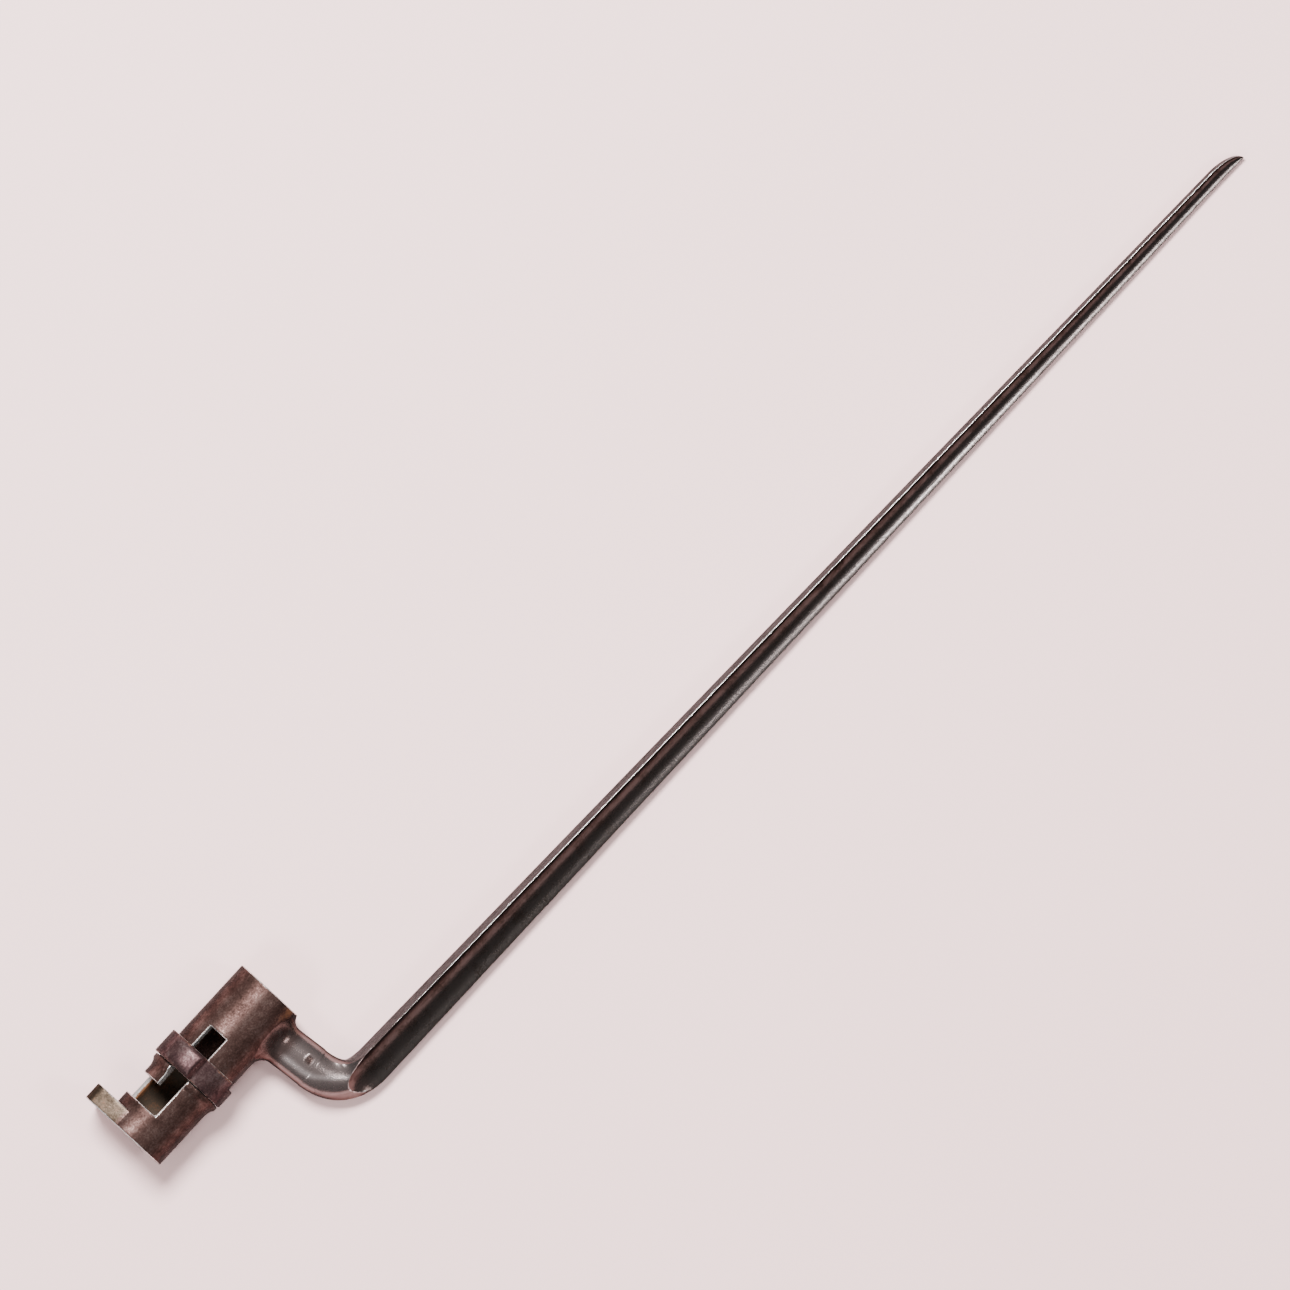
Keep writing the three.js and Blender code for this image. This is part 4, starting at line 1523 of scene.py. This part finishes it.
    def polish(self, rows: np.ndarray, t: np.ndarray) -> np.ndarray:
        """How smoothly handling has polished the arm and its elbow, with painted highlights laid on it.

        There are a light polish on the whole upper side, a strong band along it and a weaker one
        on the elbow's outer corner. The two bands are painted highlights on polished steel, laid
        where a lamp's streaks of reflection fall. A band is a bell curve over the direction round
        the section, and the strong one's middle turns from the far side towards the flat as the
        elbow bends.

        Args:
            rows: the loft's grid of points.
            t: their distance along the blade.

        Returns:
            The polish with its painted highlights, 0 to 1.
        """
        a, b = self.triangle(np.array([self.arm_thickness]), np.array([self.arm_width]))
        direction = np.degrees(np.arctan2(b, a))
        out = -rows[..., 1]
        bend = self.polish_bend.at(out)
        band = near(direction - lerp(*self.polish_turn, bend), self.polish_width)
        corner = self.corner_highlight.at(direction) * bend
        upper = self.upper_polish * self.upper_start.at(rows[..., 2])
        reach = self.polish_start.at(out) * (1.0 - self.polish_end.at(t))
        return np.maximum.reduce([band, corner, upper]) * reach

    def section_edges(self, rows: np.ndarray) -> np.ndarray:
        """Distance of each point to the nearest corner of its section.

        Args:
            rows: the loft's grid of points.

        Returns:
            The distances, mm.
        """
        corners = rows[:, [0, self.flat_count, self.flat_count + self.side_count]]
        gap = np.linalg.norm(rows[:, :, None, :] - corners[:, None, :, :], axis=-1)
        return gap.min(axis=2)

    def make(self, maker: MakersFrame) -> bpy.types.Object:
        """Build the loft, grind it, punch its mark and dress it.

        Args:
            maker: the frame that the loft is built in.

        Returns:
            The object.
        """
        elbow, elbow_start = self.elbow_rows()
        arm = [self.foot_rows(), self.arm_rows(elbow_start)]
        rows = np.concatenate([*arm, elbow, self.blade_rows()])
        t = (rows - self.corner) @ self.along
        edge = self.section_edges(rows)
        rows, gap = self.grind(rows)
        rows = np.where((t > self.ease_from)[..., None], self.eased_edges(rows), rows)
        rows, line, floor = self.stamp(rows)
        out = np.hypot(rows[..., 1], rows[..., 2])
        foot = out < self.socket.radius + self.fillet + 0.01
        over = foot & (rows[..., 0] > self.socket.length)
        rows[..., 0] = np.where(over, self.socket.length, rows[..., 0])
        points, faces = closed_loft(rows)
        grids = self.marks(rows, t, edge, gap, line, floor)
        marks = {name: np.concatenate([grid.ravel(), np.zeros(2)]) for name, grid in grids.items()}
        return Piece("arm_and_blade", points, faces, marks, BLADE_PATINA).build(maker)

    def marks(
        self,
        rows: np.ndarray,
        t: np.ndarray,
        edge: np.ndarray,
        gap: np.ndarray,
        line: np.ndarray,
        floor: np.ndarray,
    ) -> dict[str, np.ndarray]:
        """Work out wear, rust, ground metal and polish over the loft, with the painted highlights and
        the painted reflection that ride in the wear and polish marks.

        Args:
            rows: the loft's grid of points.
            t: their distance along the blade.
            edge: their distance to an edge.
            gap: how deep in the wheel they were.
            line: how near the punched outline they are.
            floor: whether they are within it.

        Returns:
            A grid of each mark.
        """
        reach = self.scoop_start.at(t) * (1.0 - self.scoop_end.at(t))
        scoop = self.scoop_wear.at(gap) * reach * (rows[..., 2] > 0.5)
        # Edge lines: worn steel, and partly a painted highlight along the arris.
        growing = lerp(*self.edge_wear_range, self.edge_wear_growth.at(t))
        edge_wear = self.edge_wear.at(edge) * self.edge_wear_start.at(t) * growing
        # Painted reflection of a lamp on the fullers, put in the wear and polish marks.
        band = self.reflection_share * self.painted_reflection_band(t)
        # Polish with painted highlights on the arm; its bright core goes into the wear mark as a
        # painted highlight.
        shine = self.polish(rows, t) * (gap < 0.0)
        painted_streak_core = self.streak_core_share * shine**3 * (1.0 - line)
        rust = self.foot_rust.at(rows[..., 1])
        rust = rust * self.foot_rust_along.at(rows[..., 0] - self.socket.length)
        return {
            "wear": np.maximum.reduce([edge_wear, scoop, band, painted_streak_core]),
            "rust": np.maximum(rust, self.stamp_rust * floor),
            "inside": np.zeros(t.shape),
            "ground": self.ground_start.at(t),
            "polish": np.maximum(shine, band) * (1.0 - np.maximum(floor, 0.6 * line)),
        }


# ---- Locking ring ----


@dataclass
class LockingRing:
    """The split ring that turns on the socket behind its collar. Millimetres and degrees."""

    socket: Socket
    start: float = 29.3
    width: float = 9.9
    gap: float = 0.3
    band_wall: float = 1.35
    heavy_wall: float = 2.1
    hump_wall: float = 1.6
    hump_from: float = -62.0
    hump_to: float = -6.0
    hump_ramp: float = 9.0
    crown_drop: float = 1.5
    crown_width: float = 3.0
    ear_angle: float = -146.0
    ear_rim: float = 0.6
    ear_thickness: float = 2.0
    ear_width: float = 7.0
    split: float = 0.8
    heavy_from: float = -124.0
    screw_diameter: float = 1.8
    head_diameter: float = 3.0
    head_height: float = 1.0
    slot_width: float = 0.6
    pin_diameter: float = 2.0
    pin_proud: float = 2.0
    notch_angle: float = 50.0
    notch_depth: float = 2.6
    turn: float = 80.0
    edge_round: float = 0.4
    pitch: float = 0.6
    angle_pitch: float = 1.25
    ear_lines: int = 8
    crowding: float = 0.05
    slot_depth: float = 0.35
    screw_sides: int = 48
    pin_sides: int = 32
    heavy_ramp: float = 4.0
    edge_wear: Spot = Spot(0.0, 0.3, 0.6)
    # Painted highlights down the hump's crest and along its two ends.
    crest_highlight: Spot = Spot(-8.0, 3.636, 0.42)
    step_highlight: Spot = Spot(0.5, 0.175, 0.5)
    edge_rust: Spot = Spot(0.0, 0.8, 0.35)
    bore_rust: float = 0.4
    bore_darkening: float = 0.5

    def __post_init__(self) -> None:
        """Work out the ring's radii and where its pin and screw are."""
        self.bore = self.socket.radius + self.gap
        self.end = self.start + self.width
        self.hump_radius = self.socket.stud_radius + self.hump_wall
        self.pin_half = math.degrees((self.pin_diameter / 2 + self.gap) / self.bore)
        self.pin_angle = self.notch_angle + self.turn + self.pin_half
        self.screw_radius = self.bore + self.band_wall + self.gap + self.head_diameter / 2
        self.ear_reach = self.screw_radius + self.screw_diameter / 2 + self.ear_rim
        self.ear_side = self.split / 2 + self.ear_thickness
        self.ear_x = self.start + self.width / 2

    def hump_share(self, angle: np.ndarray, margin: float) -> np.ndarray:
        """How far the hump has risen, with smooth ramps.

        Args:
            angle: angles around the ring.
            margin: how much narrower than the outside to make it, degrees.

        Returns:
            0 off the hump to 1 on it.
        """
        middle = (self.hump_from + self.hump_to) / 2
        half = (self.hump_to - self.hump_from) / 2 - margin
        off = np.abs((angle - middle + 180.0) % 360.0 - 180.0)
        return 1.0 - smooth((off - half + self.hump_ramp) / self.hump_ramp)

    def lines(self) -> tuple[np.ndarray, np.ndarray]:
        """Lay out the grid's lines.

        Returns:
            The places across the ring from its rear edge, mm, and the angles from its split.
        """
        edges = [0.0, self.width, self.width - self.notch_depth]
        ears = [(self.width - self.ear_width) / 2, (self.width + self.ear_width) / 2]
        across = ruled(edges, self.width, self.pitch, self.edge_round)
        sheer = self.socket.sheer
        extra = [*ears, ears[0] - sheer, ears[1] + sheer]
        across = np.unique(np.round(np.concatenate([across, extra]), 5))
        half = math.degrees(self.split / 2 / self.screw_radius)
        rounds = math.degrees(self.edge_round / self.bore)
        ear = math.degrees(math.atan2(self.ear_side, self.bore + self.band_wall))
        turns = [self.notch_angle, self.pin_angle + self.pin_half]
        marks = [t - self.ear_angle for t in turns] + [ear, 360.0 - ear]
        around_it = ruled(marks, 360.0, self.angle_pitch, rounds)
        on_ear = np.linspace(half, ear, self.ear_lines)
        around_it = np.concatenate([around_it, on_ear, 360.0 - on_ear])
        around_it = around_it[(around_it >= half - TINY) & (around_it <= 360.0 - half + TINY)]
        around_it = np.unique(np.round(around_it, 4))
        clear = np.concatenate([[True], np.diff(around_it) > self.crowding])
        return across, around_it[clear]

    def surfaces(self) -> tuple[np.ndarray, np.ndarray, np.ndarray, dict[str, np.ndarray]]:
        """The two surfaces, the metal cells and the marks, on one grid of width and angle.

        Returns:
            Inner points, outer points, which cells are metal, and the marks for both surfaces.
        """
        across, around_it = self.lines()
        w, g = np.meshgrid(across, around_it, indexing="ij")
        angle = g + self.ear_angle
        heavy_from = self.heavy_from - self.ear_angle
        heavy_to = (self.hump_from + self.hump_to) / 2 - self.ear_angle
        heavy = smooth((g - heavy_from) / self.heavy_ramp) * (g < heavy_to)
        band = self.bore + lerp(self.band_wall, self.heavy_wall, heavy)
        outside = lerp(band, self.hump_radius, self.hump_share(angle, 0.0))
        margin = np.minimum(w, self.width - w)
        wall_angle = math.degrees(self.hump_wall / self.socket.stud_radius)
        inside = lerp(self.bore, self.socket.stud_radius, self.hump_share(angle, wall_angle))
        in_crown = np.clip(1.0 - margin / self.crown_width, 0.0, 1.0)
        crown = self.hump_radius - self.crown_drop * (1 - np.sqrt(1.0 - in_crown**2))
        outside = np.minimum(outside, crown)
        notch = self.off_notch(w, angle)
        edge = np.minimum(margin, notch)
        outside -= worn_round(edge, self.edge_round)
        ear_off = np.minimum(g, 360.0 - g)
        on_ear = self.on_ear(w, ear_off)
        top = self.ear_reach / np.cos(np.radians(ear_off))
        side = self.ear_side / np.maximum(np.sin(np.radians(ear_off)), TINY)
        outside = np.where(on_ear, np.maximum(np.minimum(top, side), outside), outside)
        middle_w = (across[1:] + across[:-1])[:, None] / 2
        middle_g = (around_it[1:] + around_it[:-1])[None, :] / 2
        solid = self.off_notch(middle_w, middle_g + self.ear_angle) > 0
        hump = self.hump_share(angle, 0.0)
        # Painted highlights on the hump: a narrow one down its crest and lines at its ends, put in the
        # wear mark with the edges' wear.
        crest = self.crest_highlight.at(angle) * hump
        steps = self.step_highlight.at(hump) * (hump > 0.02)
        wear = np.maximum.reduce([self.edge_wear.at(edge), crest, steps])
        rust = self.edge_rust.at(margin)
        marks = {
            "wear": np.concatenate([np.zeros(w.size), wear.ravel()]),
            "rust": np.concatenate([np.full(w.size, self.bore_rust), rust.ravel()]),
            "inside": np.concatenate([np.full(w.size, self.bore_darkening), np.zeros(w.size)]),
        }
        x = self.start + w
        return around(x, inside, angle), around(x, outside, angle), solid, marks

    def off_notch(self, w: np.ndarray, angle: np.ndarray) -> np.ndarray:
        """Distance to the notch in the ring's front edge.

        Args:
            w: places across the ring from its rear edge.
            angle: angles around it.

        Returns:
            The distances, 0 within the notch.
        """
        angle = (angle + 180.0) % 360.0 - 180.0
        da = beyond(angle, self.notch_angle, self.pin_angle + self.pin_half)
        dw = np.maximum(self.width - self.notch_depth - w, 0.0)
        return np.hypot(np.radians(da) * self.bore, dw)

    def on_ear(self, w: np.ndarray, ear_off: np.ndarray) -> np.ndarray:
        """Find the points of the grid that are on one of the ears.

        Args:
            w: places across the ring from its rear edge.
            ear_off: degrees from the split.

        Returns:
            A grid that is true on the ears.
        """
        low, high = (self.width - self.ear_width) / 2, (self.width + self.ear_width) / 2
        reach = math.degrees(math.atan2(self.ear_side, self.bore + self.band_wall))
        return (w >= low - NUDGE) & (w <= high + NUDGE) & (ear_off <= reach + 10 * NUDGE)

    def make(self, maker: MakersFrame) -> bpy.types.Object:
        """Build the ring.

        Args:
            maker: the frame that the ring is built in.

        Returns:
            The object.
        """
        inner, outer, solid, marks = self.surfaces()
        points, faces = walled_sheet(inner, outer, solid, False)
        return Piece("ring_band", points, faces.tolist(), marks, RING_PATINA).build(maker)

    def make_screw(self, maker: MakersFrame) -> bpy.types.Object:
        """Build the clamp screw: a turned shank and a domed head with a straight slot.

        Args:
            maker: the frame that the screw is built in.

        Returns:
            The object.
        """
        seat = self.ear_side + self.gap
        head = self.head_diameter / 2
        shank = self.screw_diameter / 2
        profile = np.array(
            [
                (-self.ear_side, 0.0),
                (-self.ear_side, shank * 0.7),
                (-self.ear_side + 0.25, shank),
                (seat, shank),
                (seat, head - 0.1),
                (seat + 0.1, head),
                (seat + self.head_height * 0.55, head),
                (seat + self.head_height * 0.8, head * 0.92),
            ]
        )
        turn = np.linspace(0.0, 2 * math.pi, self.screw_sides + 1)[:-1]
        along, reach = profile[:, 0][:, None], profile[:, 1][:, None]
        rings = np.broadcast_arrays(along, reach * np.cos(turn), reach * np.sin(turn))
        body, faces = closed_loft(self.on_screw(np.stack(rings, axis=-1)))
        top_points, top_faces = self.screw_top(seat + self.head_height * 0.8, head * 0.92)
        points = np.concatenate([body, self.on_screw(top_points)])
        faces += (top_faces + len(body)).tolist()
        wear = np.full(len(points), 0.15)
        wear[len(body):] = 0.35
        marks = {"wear": wear, "rust": np.full(len(points), 0.3), "inside": np.zeros(len(points))}
        return Piece("clamp_screw", points, faces, marks, PIN_PATINA).build(maker)

    def screw_top(self, base: float, radius: float) -> tuple[np.ndarray, np.ndarray]:
        """The head's dome with its slot: a closed cap on lines that run along the slot.

        Args:
            base: where the dome starts along the screw.
            radius: the head's radius there.

        Returns:
            The points along and off the screw's line, and the quads.
        """
        half = self.slot_width / 2 / radius
        beside = np.linspace(half + 0.02, 1, 9)
        u = np.concatenate([-beside[::-1], [-half, half], beside])
        v = np.linspace(-1.0, 1.0, 17)
        across, along = np.meshgrid(u, v, indexing="ij")
        y, z = across * radius, along * np.sqrt(np.maximum(1.0 - across**2, 0.0)) * radius
        rise = (self.head_height * 0.2) * (1.0 - (y * y + z * z) / radius**2)
        sunk = np.where(np.abs(across) <= half + TINY, self.slot_depth, 0.0)
        top = np.stack([base + rise - sunk, y, z], axis=-1)
        under = np.stack([np.full_like(y, base - 0.4), y, z], axis=-1)
        return walled_sheet(under, top, np.ones((len(u) - 1, len(v) - 1), dtype=bool), False)

    def on_screw(self, local: np.ndarray) -> np.ndarray:
        """Carry points from the clamp screw's line to the maker's frame.

        Args:
            local: places along the screw, along the socket and away from its axis.

        Returns:
            The points in the maker's frame.
        """
        centre = around(np.array(self.ear_x), np.array(self.screw_radius), np.array(self.ear_angle))
        axes = (outward(self.ear_angle + 90.0), ALONG_SOCKET, outward(self.ear_angle))
        return centre + sum(local[..., k : k + 1] * axis for k, axis in enumerate(axes))

    def make_pin(self, maker: MakersFrame) -> bpy.types.Object:
        """Build the stop pin that stands in the ring's notch: a bar with a worn, domed end.

        Args:
            maker: the frame that the pin is built in.

        Returns:
            The object.
        """
        half = self.pin_diameter / 2
        low, high = self.socket.bore_radius + self.gap, self.socket.radius + self.pin_proud
        turn = np.linspace(0.0, math.pi / 2, 7)[:-1]
        radii = np.concatenate([[half * 0.8, half, half], half * np.cos(turn[1:])])
        heights = np.concatenate([[low, low + 0.2, high - 0.5], high - 0.5 + 0.5 * np.sin(turn[1:])])
        spin = np.linspace(0.0, 2 * math.pi, self.pin_sides + 1)[:-1, None]
        out, side = outward(self.pin_angle), outward(self.pin_angle + 90.0)
        centre = (self.end - half) * ALONG_SOCKET + heights[:, None, None] * out
        ring = np.cos(spin) * ALONG_SOCKET + np.sin(spin) * side
        points, faces = closed_loft(centre + radii[:, None, None] * ring[None])
        wear = np.full(len(points), 0.3)
        marks = {"wear": wear, "rust": np.full(len(points), 0.2), "inside": np.zeros(len(points))}
        return Piece("notch_pin", points, faces, marks, PIN_PATINA).build(maker)


# ---- Studio ----


@dataclass
class Studio:
    """The table, the soft lights and the camera. Metres and degrees."""

    half_floor: float = 3.0
    floor_colour: Colour = tone(0.98, 0.67, 0.66)
    floor_roughness: float = 0.5
    floor_gloss: float = 0.3
    cloud_dim: float = 0.97
    eye: tuple[float, float, float] = (-0.2450, -0.10186, 5.5)
    aim: tuple[float, float, float] = (-0.00982, 0.00132, 0.0)
    picture_turn: float = -47.421
    lens: float = 428.24
    sensor: float = 36.0
    far_end: float = 20.0
    ambient: float = 0.6
    bright_side: tuple[float, float, float] = (-0.05, 0.66, 0.75)
    sky: tuple = ((0.0, tone(0.20, 0.195, 0.20)), (0.95, tone(1.0, 0.975, 0.97)))
    lamps: list = field(
        default_factory=lambda: [
            ("key", (0.25, 0.85, 1.85), 0.7, 120.0),
            ("left", (-1.3, 0.0, 1.7), 0.5, 16.0),
            ("right", (0.55, -1.25, 1.8), 0.5, 16.0),
        ]
    )

    def make(self) -> None:
        """Set up floor, lights and camera."""
        self.floor()
        self.lights()
        self.camera()

    def floor(self) -> None:
        """Lay a plain pale table top under the bayonet."""
        h = self.half_floor
        mesh = bpy.data.meshes.new("table_top")
        mesh.from_pydata([(-h, -h, 0), (h, -h, 0), (h, h, 0), (-h, h, 0)], [], [(0, 1, 2, 3)])
        made = into_scene("table_top", mesh)
        paint = bpy.data.materials.new("table_paint")
        paint.use_nodes = True
        board = NodeBoard(paint.node_tree)
        place = board.add("ShaderNodeTexCoord").outputs["Object"]
        dim = tone(*(self.cloud_dim * c for c in self.floor_colour[:3]))
        colour = board.ramp(board.noise(place, CLOUD), [(0.3, dim), (0.7, self.floor_colour)])
        board.link(colour, board.shader.inputs["Base Color"])
        board.shader.inputs["Roughness"].default_value = self.floor_roughness
        board.shader.inputs["Specular IOR Level"].default_value = self.floor_gloss
        mesh.materials.append(paint)

    def lights(self) -> None:
        """Hang the soft lamps and light the room."""
        room = bpy.data.worlds.new("room")
        room.use_nodes = True
        background = room.node_tree.nodes["Background"]
        background.inputs["Strength"].default_value = self.ambient
        sky = room.node_tree.nodes.new("ShaderNodeTexCoord").outputs["Generated"]
        across = room.node_tree.nodes.new("ShaderNodeVectorMath")
        across.operation = "DOT_PRODUCT"
        across.inputs[1].default_value = self.bright_side
        room.node_tree.links.new(sky, across.inputs[0])
        ramp = room.node_tree.nodes.new("ShaderNodeValToRGB")
        fill(ramp.color_ramp, self.sky)
        room.node_tree.links.new(across.outputs["Value"], ramp.inputs["Fac"])
        room.node_tree.links.new(ramp.outputs["Color"], background.inputs["Color"])
        bpy.context.scene.world = room
        for name, place, size, power in self.lamps:
            data = bpy.data.lights.new(name, "AREA")
            data.shape = "DISK"
            data.size = size
            data.energy = power
            lamp = into_scene(name, data)
            lamp.location = place
            lamp.rotation_euler = (-Vector(place)).to_track_quat("-Z", "Y").to_euler()

    def camera(self) -> None:
        """Stand the camera over the table, its picture turned about its line of sight."""
        data = bpy.data.cameras.new("camera")
        data.lens = self.lens
        data.sensor_width = self.sensor
        data.clip_end = self.far_end
        made = into_scene("camera", data)
        back = (Vector(self.eye) - Vector(self.aim)).normalized()
        turn = math.radians(self.picture_turn)
        right = Vector((math.cos(turn), math.sin(turn), 0.0))
        right.z = -right.dot(back) / back.z
        right.normalize()
        up = back.cross(right)
        turned = Matrix((right, up, back)).transposed().to_4x4()
        made.matrix_world = Matrix.Translation(self.eye) @ turned
        bpy.context.scene.camera = made


def seat(piece: bpy.types.Object, body: Body, slot: str, nodes: tuple[str, ...]) -> None:
    """Make a piece ride with its body, and hide the CAD nodes that it stands for.

    Args:
        piece: the finished object.
        body: the body that it moves with.
        slot: the name of a slot in the record; not used.
        nodes: the CAD nodes that it stands for.
    """
    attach(piece, body.value)
    if nodes:
        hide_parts(*nodes)
    LOG.info("%s: %d faces on %s", piece.name, len(piece.data.polygons), body.value)


def main() -> None:
    """Build every piece in order, then the studio."""
    logging.basicConfig(level=logging.INFO, format="%(name)s: %(message)s")
    maker = MakersFrame.from_part(frame)
    Studio().make()
    socket = Socket()
    arm = ArmAndBlade(socket)
    ring = LockingRing(socket)
    seat(socket.make(maker), Body.BAYONET, "patinated_steel", ("bayonet_body",))
    seat(arm.make(maker), Body.BAYONET, "patinated_steel", ("bayonet_body",))
    seat(ring.make_pin(maker), Body.BAYONET, "pin_steel", ("stop_pin",))
    seat(ring.make(maker), Body.RING, "ring_steel", ("locking_ring",))
    seat(ring.make_screw(maker), Body.RING, "screw_steel", ("ring_screw",))


if __name__ == "__main__":
    main()
